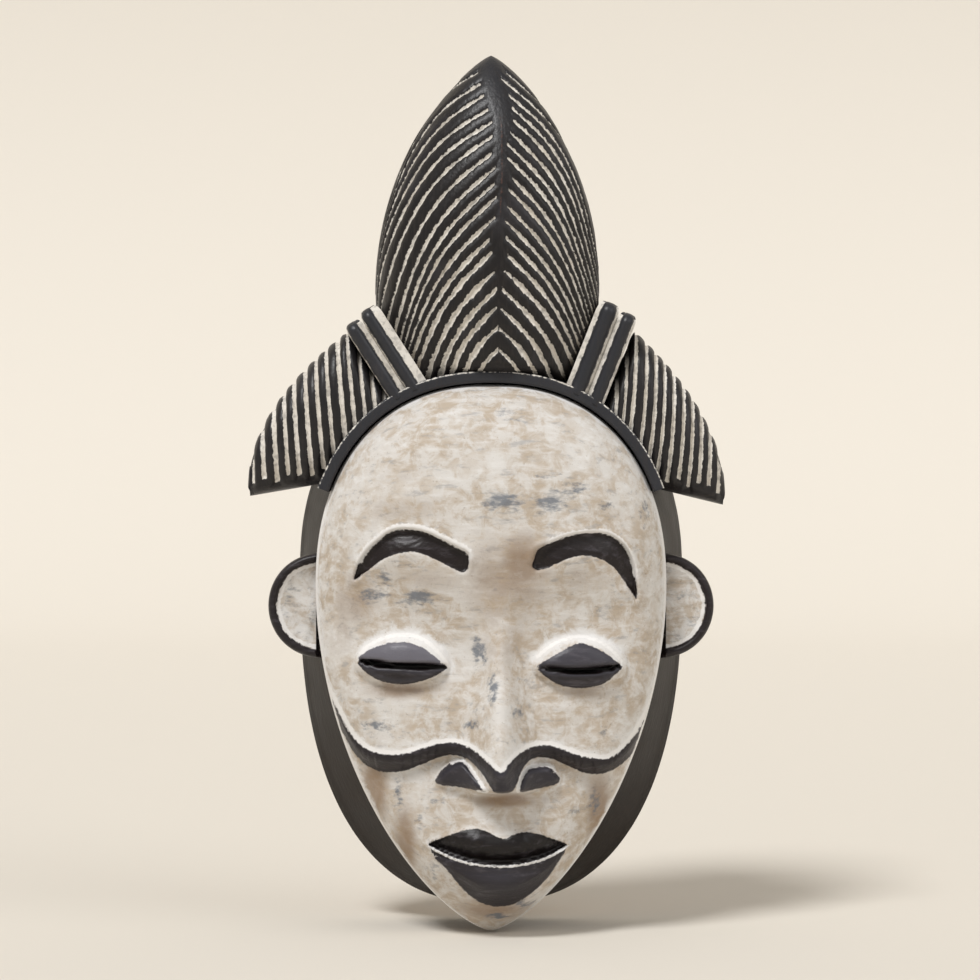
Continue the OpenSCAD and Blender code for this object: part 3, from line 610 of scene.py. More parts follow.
# Oil stain and wax on hardwood: dark brown, the grain just visible, a soft satin shine
stained, tree, shader = finish_named("hardwood_stained_dark_brown_and_waxed")
place = add(tree, "ShaderNodeTexCoord").outputs["Object"]
laid = add(tree, "ShaderNodeMapping", {"Vector": place, "Scale": (700, 700, 55)})
fibre = add(tree, "ShaderNodeTexNoise", {"Vector": laid, "Scale": 1.0, "Detail": 5})
pores = add(tree, "ShaderNodeTexNoise", {"Vector": laid, "Scale": 2.0, "Detail": 2})
patches = add(tree, "ShaderNodeTexNoise", {"Vector": place, "Scale": 22, "Detail": 3})
colour = add(tree, "ShaderNodeMix", {0: fibre, 6: paint("#130e0c"), 7: paint("#211915")},
             data_type="RGBA").outputs[2]
for what, low, high, most, tint in ((patches, 0.38, 0.7, 0.7, "#2a231e"), (pores, 0.62, 0.72, 0.6, "#1b1512")):
    share = add(tree, "ShaderNodeMapRange", {0: what, 1: low, 2: high, 4: most},
                interpolation_type="SMOOTHSTEP")
    colour = add(tree, "ShaderNodeMix", {0: share, 6: colour, 7: paint(tint)}, data_type="RGBA").outputs[2]
tree.links.new(colour, shader.inputs["Base Color"])
shader.inputs["Specular IOR Level"].default_value = 0.3
sheen = add(tree, "ShaderNodeMapRange", {0: patches, 1: 0.3, 2: 0.7, 3: 0.42, 4: 0.58})
tree.links.new(sheen.outputs[0], shader.inputs["Roughness"])
bump = add(tree, "ShaderNodeBump", {"Height": fibre, "Strength": 0.4, "Distance": 0.0004})
tree.links.new(bump.outputs[0], shader.inputs["Normal"])

shell = solid("shell_carving", points, faces, stained)
shell.data.materials.append(gouged)
# past its thirteen outer rings it is bare wood
finish_of = np.zeros(len(faces), np.int32)
finish_of[13 * len(turns):] = 1
shell.data.polygons.foreach_set("material_index", finish_of)
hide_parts("back_shell")
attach(shell, "mask")

# ---- Crest ----------------------------------------------------------------------------------
# The tall pointed crest: one block, round in front and flat at the back, with a worn ridge.
# Grooves cut with a V-gouge rise from both sides to the ridge, and are filled with white paint.
HAIR_Z = FACE_Z + RISE + 4
CREST_H, CREST_HALF, CREST_DEPTH, CREST_EDGE, CREST_X, WIDEST = 147, 51, 66, 21, -2, 38
BACK_GAP = 6                   # between the crest's flat back and the wall


def capped(rings, first, last):
    """A skin over rings, closed at each end by triangles round one middle point."""
    points, faces = lathe(rings, False)
    foot = np.arange(len(rings[0]))
    head = foot + len(points) - len(foot)
    faces += [(int(b), int(a), len(points)) for a, b in zip(foot, np.roll(foot, -1))]
    faces += [(int(a), int(b), len(points) + 1) for a, b in zip(head, np.roll(head, -1))]
    return np.vstack([points, first, last]), faces


def crest_at(a, h):
    """A point of the crest's front. a turns from -90 degrees at the left to 90; h is above the hairline."""
    u = np.clip((h - WIDEST) / (CREST_H - WIDEST), 0, 1)
    v = np.clip((WIDEST - h) / 40, 0, 1.3)
    w = np.where(h > WIDEST, CREST_HALF * (1 - u ** 2.05) ** 0.8 + 0.2,
                 CREST_HALF * np.sqrt(1 - (0.7 * v) ** 2))
    top = np.where(h > WIDEST, CREST_EDGE + 3 + (CREST_DEPTH - CREST_EDGE - 3) * (1 - u ** 2.2) ** 0.7,
                   CREST_DEPTH - 3 * v ** 2)
    lean = 2 * smooth(105, CREST_H, h)
    off = 5.5 + 1.5 * smooth(50, 95, h) - 5 * smooth(105, CREST_H, h) - lean
    x = CREST_X + lean + w * np.sin(a) + off * np.cos(a) * np.minimum(1, w / 10)
    ridge = CREST_X + lean + off * np.minimum(1, w / 10)
    depth = CREST_EDGE + (top - CREST_EDGE) * np.cos(a) ** 0.85
    return x, depth, ridge, w


def arch(x, grow):
    """Height of the face's outline, grown, above a place across."""
    e = (FACE[0] + grow, FACE[1] + grow)
    u = (1 - np.clip(np.abs(x) / e[0], 0, 0.999) ** (1 / FACE[4])) ** (1 / FACE[3])
    return FACE_Z + u * e[1]


def normals(p):
    """Unit normals of a grid of points, rows by columns."""
    across = np.gradient(p, axis=1)
    up = np.gradient(p, axis=0)
    n = np.cross(across, up)
    return n / np.maximum(np.linalg.norm(n, axis=2, keepdims=True), 1e-9)


def groove_count(h):
    """Grooves passed on the way up the ridge: 10 mm apart at the foot, 6 mm near the top."""
    return (9.8 - np.sqrt(np.maximum(2.0, 9.8 ** 2 - 4 * 0.13 * (h - 13)))) / 0.26


def groove_start(dx, h, side):
    """The height on the ridge that the groove through a point comes from."""
    low, high = h.copy(), h + 3.2 * dx + 1
    for _ in range(26):
        mid = (low + high) / 2
        reach = np.where(side == 0, np.clip(0.62 * mid + 7, 8, 48), np.clip(0.75 * mid + 8, 8, 46))
        flatter = np.where(side == 0, smooth(85, 125, mid), 0)
        drop = dx * (0.95 - 0.42 * flatter + (0.9 - 0.4 * flatter) * np.minimum(1.35, dx / reach) ** 3)
        under = mid - drop < h
        low, high = np.where(under, mid, low), np.where(under, high, mid)
    return (low + high) / 2


ACROSS, UP = 240, 250
t = np.linspace(-1, 1, ACROSS + 1)
turn = (0.7 * t + 0.3 * t ** 3) * math.pi / 2
foot = np.full(turn.shape, -4.0)
for _ in range(30):
    foot = 0.5 * foot + 0.5 * (arch(crest_at(turn, foot)[0], 2.6) - HAIR_Z)
v = np.linspace(0, 1, UP + 1)
v = v * 0.9 + 0.1 * np.sin(v * math.pi / 2)
angle = np.repeat(turn[None], UP + 1, 0)
above = foot[None] + (CREST_H - foot[None]) * v[:, None]
across, depth_in, ridge_x, half_wide = crest_at(angle, above)
skin = np.dstack([across, -depth_in, HAIR_Z + above])
# the grooves are laid out along the line of sight, on a plane near the crest's side edges
near = (EYE_AWAY + 21) / (EYE_AWAY - (depth_in - PLANE)) / 1.003
sx = across * near
sh = (HAIR_Z + above - EYE_Z) * near + EYE_Z - HAIR_Z
# the grooves keep falling where the side turns straight back
step_x = np.linalg.norm(np.gradient(skin, axis=1), axis=2)
step_z = np.linalg.norm(np.gradient(skin, axis=0), axis=2)
side_run = np.cumsum(step_x * smooth(1.2, 1.45, np.abs(angle)), axis=1)
dx = np.abs(sx - ridge_x) + 0.3 * np.abs(side_run - side_run[:, ACROSS // 2:ACROSS // 2 + 1])
side = np.where(sx < ridge_x, 0, 1)
start = groove_start(dx, sh, side)
phase = groove_count(start) + np.where(side == 1, 0.45 * smooth(55, 100, start), 0)
rng = np.random.default_rng(11)
jitter = rng.uniform(-0.09, 0.09, (2, 40))
late = rng.uniform(0.3, 3.6, (2, 40))
index = np.clip(np.floor(phase + 0.5).astype(int), 0, 39)
off_centre = phase - (np.floor(phase + 0.5) + jitter[side, index])
# how far along the surface the groove's centre line is, and how much of a groove that leaves
count = groove_count(start)
by_width = np.gradient(count, axis=1) / np.maximum(step_x, 1e-6)
by_height = np.gradient(count, axis=0) / np.maximum(step_z, 1e-6)
steep = np.hypot(by_width, by_height)
steep = np.where(np.abs(np.gradient(side, axis=1)) > 0, 0.16, steep)
steep = np.clip(steep, 0.08, 0.6)
low_down = smooth(85, 45, start)
half = np.minimum(0.92 + np.where(side == 0, 0.4, 0.15) * low_down,
                  (0.165 + np.where(side == 0, 0.055, 0.02) * low_down) / steep)
swell = 1
for much, often, shift in ((0.2, 0.55, 2.1), (0.16, 1.9, 1.3), (0.12, 4.3, 0.7)):
    swell = swell + much * np.sin(dx * often + index * shift)
half *= swell
half *= 0.55 + 0.45 * smooth(0, 9, dx - 2)
groove = np.abs(off_centre) / steep - half
# no groove crosses the ridge, the tip, the foot or the back edge, or is cut where they crowd together
off_ridge = np.where(start > 50, 1.6, 0.2) + late[side, index] * smooth(20, 60, start)
off_ridge += 1.5 * smooth(112, 135, start)
closed_off = np.maximum.reduce([off_ridge - dx, (sh - 139) * 0.5, 8 - start, (np.abs(angle) - 1.5) * 30,
                                3 * smooth(0.5, 0.7, steep) - 1.6])
groove = np.clip(np.maximum(groove, closed_off), -1.5, 4)
outward = normals(skin)
cut = smooth(0.35, -0.9, groove)
skin = skin - outward * (1.35 * cut)[:, :, None]
# the strands between the cuts are slightly round
skin = skin + outward * (0.35 * smooth(0, 2.2, groove) * (np.abs(angle) < 1.4))[:, :, None]

# the foot is eased where it meets the headband
skin[:, :, 1] += 6 * smooth(7, 0, above - foot[None]) * np.cos(angle)


def turned_in(column, way):
    """Columns that turn a side of the crest in to its flat back. way is 1 for the left and -1 for the right."""
    columns = []
    for inset, depth in ((0, 18), (0.4, 14), (1.4, 10.5), (3.2, 8), (6, 6.4), (9, BACK_GAP)):
        x = column[:, 0] + way * np.minimum(inset, 0.5 * half_wide[:, 0])
        columns.append(np.column_stack([x, np.full(UP + 1, -depth), column[:, 2]])[:, None])
    return columns


right, left = turned_in(skin[:, -1], -1), turned_in(skin[:, 0], 1)
flat = [right[-1] * (1 - k) + left[-1] * k for k in np.linspace(0, 1, 16)[1:-1]]
whole = np.concatenate([skin] + right + flat + left[::-1], axis=1)
ring_n = whole.shape[1]
points, faces = capped(list(whole), whole[0].mean(0), whole[-1].mean(0) + (0, 0, 0.4))

# Ebonised hardwood: black stain rubbed with wax, brown in the depth and grey where it catches
# light, with flat white paint wiped into the cuts and off the strands.
ebony, tree, shader = finish_named("ebonised_hardwood_with_white_filled_cuts")
place = add(tree, "ShaderNodeTexCoord").outputs["Object"]
held = {name: add(tree, "ShaderNodeAttribute", attribute_name=name).outputs["Fac"]
        for name in ("groove", "tone", "worn")}
ragged = add(tree, "ShaderNodeTexNoise", {"Vector": place, "Scale": 660, "Detail": 4})
laid = add(tree, "ShaderNodeMapping", {"Vector": place, "Scale": (830, 830, 105)})
fibre = add(tree, "ShaderNodeTexNoise", {"Vector": laid, "Scale": 1.0, "Detail": 4})
patches = add(tree, "ShaderNodeTexNoise", {"Vector": place, "Scale": 45, "Detail": 3})
black = add(tree, "ShaderNodeMix", {0: held["tone"], 6: paint("#161211"), 7: paint("#2c2d32")},
            data_type="RGBA").outputs[2]
red = add(tree, "ShaderNodeMath", {0: ragged, 1: 1.2, 2: held["worn"]}, operation="MULTIPLY_ADD")
for what, low, high, most, tint in (
        (fibre, 0.45, 0.8, 0.35, "#3a3431"),       # brown where the grain took less stain
        (patches, 0.5, 0.75, 0.25, "#48464b"),     # grey where the wax has dulled
        (red, 1.05, 1.5, 0.8, "#54382f")):         # red-brown wood on the worn ridge
    share = add(tree, "ShaderNodeMapRange", {0: what, 1: low, 2: high, 4: most},
                interpolation_type="SMOOTHSTEP")
    black = add(tree, "ShaderNodeMix", {0: share, 6: black, 7: paint(tint)}, data_type="RGBA").outputs[2]
filled = add(tree, "ShaderNodeMath", {0: ragged, 1: 1.3, 2: held["groove"]}, operation="MULTIPLY_ADD")
filled = add(tree, "ShaderNodeMapRange", {0: filled, 1: 0.72, 2: 0.42}, interpolation_type="SMOOTHSTEP")
thin = add(tree, "ShaderNodeTexNoise", {"Vector": place, "Scale": 420, "Detail": 3})
thin = add(tree, "ShaderNodeMapRange", {0: thin, 1: 0.3, 2: 0.55, 3: 0.65}, interpolation_type="SMOOTHSTEP")
covered = add(tree, "ShaderNodeMath", {0: filled, 1: thin}, operation="MULTIPLY")
aged = add(tree, "ShaderNodeMapRange", {0: patches, 1: 0.3, 2: 0.7})
white_paint = add(tree, "ShaderNodeMix", {0: aged, 6: paint("#e8e4dd"), 7: paint("#d2cbc0")},
                  data_type="RGBA").outputs[2]
colour = add(tree, "ShaderNodeMix", {0: covered, 6: black, 7: white_paint}, data_type="RGBA").outputs[2]
tree.links.new(colour, shader.inputs["Base Color"])
shader.inputs["Specular IOR Level"].default_value = 0.35
sheen = add(tree, "ShaderNodeMapRange", {0: filled, 3: 0.38, 4: 0.75})
tree.links.new(sheen.outputs[0], shader.inputs["Roughness"])
relief = add(tree, "ShaderNodeMath", {0: fibre, 1: ragged}, operation="ADD")
bump = add(tree, "ShaderNodeBump", {"Height": relief, "Strength": 0.35, "Distance": 0.0004})
tree.links.new(bump.outputs[0], shader.inputs["Normal"])


def spread(values, fill):
    """Values of the front grid, and one value for the side and back columns and the two caps."""
    rest = np.full((UP + 1, ring_n - values.shape[1]), fill)
    return np.append(np.concatenate([values, rest], 1).ravel(), (fill, fill))


crest = solid("crest_carving", points, faces, ebony)
ridge_wear = 0.7 * hump(sx - ridge_x, 0.7) * smooth(68, 78, sh) * smooth(128, 112, sh)
# the stain greys towards the top of the crest beside the ridge: a painted sheen where light catches it
painted_sheen = 0.1 + 0.6 * smooth(85, 140, sh) * smooth(30, 4, dx + 8)
marked(crest, groove=spread(groove, 4), tone=spread(painted_sheen, 0.1), worn=spread(ridge_wear, 0))
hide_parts("crest")
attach(crest, "mask")

# ---- Tresses --------------------------------------------------------------------------------
# A wing of hair at each side: a block rounded front and back, its upper edge notched where
# thirteen upright grooves run over it. Each is glued to the shell on one dowel.
TRESS_TIP, TRESS_SPAN = FACE_HALF + 31, 66
# the moulding that stops each tress: lean from upright, foot across, foot above the hairline, length
TIE_LINES = {-1: (32.7, 40.4, -11, 41), 1: (21.5, 48.5, -7, 37)}
TIE_W = 8.4


def tress(name, side, trim, sag, pitch, first, seed):
    """side is -1 for the left. trim shortens the tip and sag lowers it."""
    cuts = 13
    rng = np.random.default_rng(seed)
    around = 96
    centres = first + np.arange(cuts) * pitch + rng.uniform(-0.35, 0.35, cuts)
    # sections stand close together across each cut
    near_cut = np.array([-2.1, -1.75, -1.45, -1.2, -0.95, -0.65, -0.3, 0.0, 0.3, 0.65, 0.95, 1.2, 1.45,
                         1.75, 2.1])
    along = np.concatenate([(centres[:, None] + near_cut * pitch / 5.3).ravel(), [0.05, 0.3, 0.7, 1.2, 2.0],
                            np.linspace(centres[-1] + 3, TRESS_SPAN - trim + 2, 4)])
    along = np.unique(np.maximum(0.02, along))
    s = along / (TRESS_SPAN - trim)
    a = np.linspace(0, 2 * math.pi, around, endpoint=False)
    share, angle = np.meshgrid(s, a, indexing="ij")
    x0 = TRESS_TIP - trim - along[:, None]
    top = -50 + (82 + 0.6 * sag) * np.sqrt(share) - sag * (1 - share)
    low = -54 + 12 * share - sag * (1 - share)
    lean, foot_x, foot_z, _ = TIE_LINES[side]
    lean = math.radians(lean)
    top = np.minimum(top, foot_z + 6 + (x0 - foot_x - TIE_W / 2 / math.cos(lean)) / math.tan(lean))
    top = np.maximum(top, low + 3)
    # each section is a rounded block, thinner at the tip
    mid, half = (top + low) / 2, np.maximum(1, (top - low) / 2)
    thick = 9 + 14 * np.sin(np.pi / 2 * np.minimum(1, 1.6 * share)) - 5 * (1 - smooth(0, 0.06, share))
    depth = 31 + 3 * share
    z = mid + half * np.sign(np.sin(angle)) * np.abs(np.sin(angle)) ** 0.8
    bulge = 0.0 if side < 0 else 2.2
    x = x0 + 0.12 * (z - mid) * (1 - 0.6 * (1 - share)) + bulge * hump(z - mid, half * 0.8) * share
    d = depth + thick * np.sign(np.cos(angle)) * np.abs(np.cos(angle)) ** 0.8
    gap_to = np.abs(along[:, None] - centres[None]).min(1)
    which = np.abs(along[:, None] - centres[None]).argmin(1)
    wide = 1.0 * pitch / 5.3 * (1 + 0.12 * rng.uniform(-1, 1, cuts))[which]
    foot_stop = rng.uniform(3.2, 6.5, cuts)[which]
    wander = 0.1 * np.sin(z * 0.5 + which[:, None] * 2.0) + 0.07 * np.sin(z * 1.3 + which[:, None])
    groove = gap_to[:, None] - wide[:, None] + wander
    ends = np.maximum.reduce([(low + foot_stop[:, None] - z) * 0.6, (-0.25 - np.cos(angle)) * 8,
                              np.where(along[:, None] < 1.0, 3.0, -9.0) + 0 * z])
    groove = np.clip(np.maximum(groove, ends), -1.5, 4)
    skin = np.dstack([side * x, -d, HAIR_Z + z])
    facing = normals(np.concatenate([skin, skin[:, :1]], 1))[:, :-1]
    outward = np.sign((facing * (skin - skin.mean(1, keepdims=True))).sum(2))
    facing = facing * outward[:, :, None]
    skin = skin - facing * (1.3 * smooth(0.3, -0.8, groove))[:, :, None]
    skin = skin + facing * (0.45 * smooth(0, 1.6, groove))[:, :, None]
    # nothing of it reaches in past the headband's middle
    zz = skin[:, :, 2] - FACE_Z
    keep = half_width((FACE[0] + 2.6, RISE + 2.6, FALL) + FACE[3:], np.minimum(zz, RISE + 2.5))
    skin[:, :, 0] = side * np.maximum(side * skin[:, :, 0], keep)
    points, faces = capped(list(skin), skin[0].mean(0), skin[-1].mean(0))
    made = solid(name, points, faces, ebony)
    marked(made, groove=np.append(groove.ravel() * 1.9, (4, 4)), tone=np.full(len(points), 0.25),
           worn=np.zeros(len(points)))
    return made


for node, numbers in (("left_tress", (-1, 0, 0, 5.15, 2.0, 3)), ("right_tress", (1, 4, 4, 4.55, 2.4, 5))):
    piece = tress(node + "_carving", *numbers)
    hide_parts(node)
    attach(piece, "mask")

# ---- Ties -----------------------------------------------------------------------------------
# Two round mouldings bind the root of each tress. Each is a black bar with a channel beside it,
# and the channels are painted white. Their tops are rounded over with a knife.
TIE_FRONT, TIE_BACK = 60, 14


def tie(name, side, width, place, bar, off, stop):
    """bar is the half width of the black round and off how far it stands from the tie's middle, outwards."""
    lean, foot_x, foot_z, length = TIE_LINES[side]
    lean = math.radians(lean)
    shift = place * ((TIE_W + width) / 2 + 0.15)
    half = width / 2
    u = np.linspace(-1, 1, 33)
    u = np.sign(u) * np.abs(u) ** 0.9 * half
    r = np.abs(u - off) / bar
    channel = -bar * 0.9 - 0.9 + 0.2 * np.cos((r - 1) * 3)
    crown = np.where(r < 1, bar * 0.9 * (np.sqrt(np.maximum(0, 1 - r ** 2)) - 1), channel)
    section = np.append(u, (half, half, half * 0.8, 0, -half * 0.8, -half, -half))

    def stands(s):
        """Across and up, on the frame, for places along the tie."""
        out, on = section - shift, s + place * 1.5
        x = foot_x + out * math.cos(lean) + on * math.sin(lean)
        return x, HAIR_Z + foot_z - out * math.sin(lean) + on * math.cos(lean)

    # each line along it starts where it meets the middle of the headband
    low, high = np.full(len(section), -30.0), np.full(len(section), length - 10.0)
    for _ in range(30):
        mid = (low + high) / 2
        x, z = stands(mid)
        under = z < arch(x, 2.6)
        low, high = np.where(under, mid, low), np.where(under, high, mid)
    rings, marks = [], []
    for t in np.append(np.linspace(0, 1, 60), 1 + np.sin(np.linspace(0.12, 1, 12) * math.pi / 2)):
        s = low + (length - 5 - low) * t if t <= 1 else np.full(len(section), length - 5 + 5 * (t - 1))
        k = math.sqrt(max(0, 1 - max(0, (t - 1) / 1.004) ** 2))
        front = TIE_FRONT + crown - 6 * (1 - k)
        back = TIE_BACK + 3 * (1 - k)
        x, z = stands(s)
        x = x - section * (1 - k) * 0.5 * math.cos(lean)
        z = z + section * (1 - k) * 0.5 * math.sin(lean)
        behind = (front[-1] - 8, TIE_BACK + 6, back, back, back, TIE_BACK + 6, front[0] - 8)
        rings.append(at(side * x, np.append(front, behind), z))
        edge = bar - 0.15 - np.abs(u - off) + 0.12 * np.sin(s[:33] * 0.8 + 2 * place)
        edge = np.where(s[:33] > length - stop, 3, edge)
        outer = 3 if place == 0 else edge[-1]
        marks.append(np.append(edge, (outer, outer, 3, 3, 3, edge[0], edge[0])))
    points, faces = lathe(rings, False)
    n, m = len(rings), len(rings[0])
    faces += [list(range(m))[::-1], [(n - 1) * m + i for i in range(m)]]
    made = solid(name, points, faces, ebony)
    # tone 0.9 makes the ties' stain a cool grey: painted sheen
    marked(made, groove=np.concatenate(marks), tone=np.full(len(points), 0.9), worn=np.zeros(len(points)))
    return made


for node, numbers in (
        ("left_outer_tie", (-1, TIE_W, 0, 3.0, 1.0, 1.5)),
        ("left_inner_tie", (-1, TIE_W + 1.4, 1, 2.9, 1.6, 0.5)),
        ("right_outer_tie", (1, TIE_W, 0, 2.9, 0.3, 1.5)),
        ("right_inner_tie", (1, TIE_W + 1.8, 1, 3.6, 0.4, 0.5))):
    piece = tie(node + "_carving", *numbers)
    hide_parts(node)
    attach(piece, "mask")

# ---- Headband -------------------------------------------------------------------------------
# A thin arch of hardwood, bent and shaved to the top of the face, black with eased edges.
# One section is swept along the face's own outline. Its front edge has a thin white line, a painted highlight.
band_low, band_high = (np.array(p) * 1000 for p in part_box("headband"))
BAND_W, BAND_BACK, BAND_FRONT = 5.2, -band_high[1], -band_low[1]
run = np.radians(np.linspace(27.5, 152.5, 120))
bx, bz = egg((FACE[0] + BAND_W / 2 + 0.25, RISE + BAND_W / 2 + 0.25, FALL) + FACE[3:], run)
mesh = bpy.data.meshes.new("headband_path")
middle = at(bx, (BAND_BACK + BAND_FRONT) / 2, FACE_Z + bz) * 0.001
mesh.from_pydata(middle.tolist(), [(i, i + 1) for i in range(len(run) - 1)], [])
band_path = bpy.data.objects.new("headband_path", mesh)
bpy.context.collection.objects.link(band_path)


def sockets(tree, result, **inputs):
    """Named inputs for a geometry tree, and its one output. Returns the node that holds the inputs."""
    tree.interface.new_socket("Geometry", in_out="INPUT", socket_type="NodeSocketGeometry")
    for name, kind in inputs.items():
        tree.interface.new_socket(name, in_out="INPUT", socket_type="NodeSocket" + kind)
    tree.interface.new_socket(result, in_out="OUTPUT", socket_type="NodeSocketGeometry")
    return add(tree, "NodeGroupInput")


def grown(base, tree, name, **values):
    """Runs a geometry tree on an object with these inputs, and returns the result as a plain piece."""
    step = base.modifiers.new("tree", "NODES")
    step.node_group = tree
    for item in tree.interface.items_tree:
        if item.in_out == "INPUT" and item.name in values:
            step[item.identifier] = values[item.name]
    bpy.context.view_layer.update()
    mesh = bpy.data.meshes.new_from_object(base.evaluated_get(bpy.context.evaluated_depsgraph_get()))
    mesh.name = name
    while None in list(mesh.materials):
        mesh.materials.pop(index=list(mesh.materials).index(None))
    base.modifiers.remove(step)
    bpy.data.objects.remove(base)
    made = bpy.data.objects.new(name, mesh)
    bpy.context.collection.objects.link(made)
    return made


tree = bpy.data.node_groups.new("sweep_an_eased_strip", "GeometryNodeTree")
given = sockets(tree, "Strip", Width="Float", Depth="Float", Eased="Float", Finish="Material")
path = add(tree, "GeometryNodeMeshToCurve", {"Mesh": given.outputs["Geometry"]})
path = add(tree, "GeometryNodeSetCurveNormal", {"Curve": path}, mode="Z_UP")
section = add(tree, "GeometryNodeCurvePrimitiveQuadrilateral",
              {"Width": given.outputs["Depth"], "Height": given.outputs["Width"]})
section = add(tree, "GeometryNodeFilletCurve",
              {"Curve": section, "Radius": given.outputs["Eased"], "Count": 3}, mode="POLY")
section = add(tree, "GeometryNodeResampleCurve", {"Curve": section, "Length": 0.0008}, mode="LENGTH")
place = add(tree, "GeometryNodeInputPosition")
kept = add(tree, "GeometryNodeCaptureAttribute", {"Geometry": section})
kept.capture_items.new("VECTOR", "section_place")
tree.links.new(place.outputs[0], kept.inputs[1])
strip = add(tree, "GeometryNodeCurveToMesh",
            {"Curve": path, "Profile Curve": kept.outputs[0], "Fill Caps": True})
# the white line, a painted highlight on the front edge: how far a point lies from the outer front corner, in mm
apart = add(tree, "ShaderNodeSeparateXYZ", {0: kept.outputs[1]})
to_side = add(tree, "ShaderNodeMath", {0: given.outputs["Width"], 1: 0.5}, operation="MULTIPLY")
to_side = add(tree, "ShaderNodeMath", {0: to_side, 1: apart.outputs[1]}, operation="ADD")
to_front = add(tree, "ShaderNodeMath", {0: given.outputs["Depth"], 1: 0.5}, operation="MULTIPLY")
to_front = add(tree, "ShaderNodeMath", {0: to_front, 1: apart.outputs[0]}, operation="ADD")
from_edge = add(tree, "ShaderNodeMath", {0: to_side, 1: to_front}, operation="ADD")
in_mm = add(tree, "ShaderNodeMath", {0: from_edge, 1: 1000, 2: -0.75}, operation="MULTIPLY_ADD")
strip = add(tree, "GeometryNodeStoreNamedAttribute", {"Geometry": strip, "Name": "groove", "Value": in_mm},
            data_type="FLOAT")
# tone 1.0 makes the whole band's stain a lighter grey than the crest's: painted light
strip = add(tree, "GeometryNodeStoreNamedAttribute", {"Geometry": strip, "Name": "tone", "Value": 1.0},
            data_type="FLOAT")
strip = add(tree, "GeometryNodeSetShadeSmooth", {"Geometry": strip})
strip = add(tree, "GeometryNodeRealizeInstances", {"Geometry": strip})
strip = add(tree, "GeometryNodeSetMaterial", {"Geometry": strip, "Material": given.outputs["Finish"]})
add(tree, "NodeGroupOutput", {"Strip": strip})
headband = grown(band_path, tree, "headband_strip", Width=BAND_W / 1000,
                 Depth=(BAND_FRONT - BAND_BACK) / 1000 + 0.0015, Eased=0.0009, Finish=ebony)
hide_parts("headband")
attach(headband, "mask")

# ---- Ears -----------------------------------------------------------------------------------
# Small half rounds cut from board, each with a raised black rim round a hollow that is washed
# grey-white. Each sits against the side of the mask on one dowel.
ear_low, ear_high = (np.array(p) * 1000 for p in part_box("right_ear"))
EAR_REACH, EAR_ROOT = ear_high[0], FACE_HALF - 4
EAR_Z, EAR_TALL = (ear_low[2] + ear_high[2]) / 2, (ear_high[2] - ear_low[2]) / 2
EAR_BACK, EAR_FRONT = -ear_high[1], -ear_low[1]
bow = np.radians(np.linspace(-90, 90, 90))
inside_line = np.linspace(0.94, -0.94, 24)


def ear_line(inset):
    """The ear's outline, drawn in by inset: round outside, straight where it meets the mask."""
    x = EAR_ROOT + (EAR_REACH - EAR_ROOT - inset) * np.cos(bow) ** 0.9
    z = EAR_Z + (EAR_TALL - inset) * np.sin(bow)
    return np.append(x, np.full(24, EAR_ROOT)), np.append(z, EAR_Z + (EAR_TALL - inset) * inside_line)


# how far in from the outline each ring lies, and its depth in front of the ear's back
EAR_STEPS = [(6, 0), (1.2, 0), (0.3, 0.4), (0, 1.4), (0, 4), (0, 7), (0.15, 8.6), (0.6, 9.9), (1.3, 10.7),
             (2.1, 11), (2.9, 10.7), (3.5, 10), (3.9, 9.2), (4.3, 8.9), (5.0, 8.75), (6.0, 8.5), (8, 7.9),
             (11, 7.3), (14, 7.2), (17, 7.6), (20, 8.2), (22, 8.6)]
for node, side in (("left_ear", -1), ("right_ear", 1)):
    rings, black, pale = [], [], []
    for inset, rise in EAR_STEPS:
        x, z = ear_line(inset)
        worked = 0.18 * np.sin(z * 0.9 + inset) + 0.15 * np.sin(x * 1.1 + z * 0.3 + side)
        depth = EAR_BACK + rise + worked * smooth(2, 6, inset) - 0.2 * smooth(0, 4, rise)
        share = np.clip(depth / SEAT, 0, 1)
        behind, ahead = half_width(SHELL_BACK, z - SHELL_Z), half_width(SHELL_FRONT, z - SHELL_Z)
        wall = behind * (1 - share) + ahead * share
        wall = np.maximum(wall, np.where(depth > SEAT - 1, FACE_HALF, 0))
        x = np.maximum(x, wall + 0.15)
        rings.append(at(side * x, depth, z))
        black.append(np.where(rise > 0.2, 4.1 - inset + 0.25 * np.sin(z * 0.7 + side), 4))
        pale.append(np.abs(inset - 4.9 + 0.2 * np.sin(z * 0.5)) + 0 * z)
    points, faces = capped(rings, rings[0].mean(0), rings[-1].mean(0))
    ear = solid(node + "_carving", points, faces, whitewash)
    marked(ear, ink=np.append(np.concatenate(black), (4, -4)), white=np.append(np.concatenate(pale), (8, 8)),
           tone=np.full(len(points), 0.15), wash=np.full(len(points), 0.35), rub=np.full(len(points), 0.0),
           bruise=np.full(len(points), 0.3))
    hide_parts(node)
    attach(ear, "mask")

# ---- Dowels and pins ------------------------------------------------------------------------
# Turned beech rod, cut to length and glued into drilled holes. They hold the crest, tresses,
# ears and face to the shell, and only show when the mask is taken apart.
beech, tree, shader = finish_named("beech_rod_bare")
place = add(tree, "ShaderNodeTexCoord").outputs["Object"]
laid = add(tree, "ShaderNodeMapping", {"Vector": place, "Scale": (900, 120, 900)})
fibre = add(tree, "ShaderNodeTexNoise", {"Vector": laid, "Scale": 1.0, "Detail": 4})
flecks = add(tree, "ShaderNodeTexNoise", {"Vector": laid, "Scale": 2.2, "Detail": 1})
flecks = add(tree, "ShaderNodeMapRange", {0: flecks, 1: 0.6, 2: 0.68}, interpolation_type="SMOOTHSTEP")
colour = add(tree, "ShaderNodeMix", {0: fibre, 6: paint("#c49a6a"), 7: paint("#dcb98c")}, data_type="RGBA")
colour = add(tree, "ShaderNodeMix", {0: flecks, 6: colour, 7: paint("#a87a4c")}, data_type="RGBA")
tree.links.new(colour.outputs[2], shader.inputs["Base Color"])
shader.inputs["Roughness"].default_value = 0.62
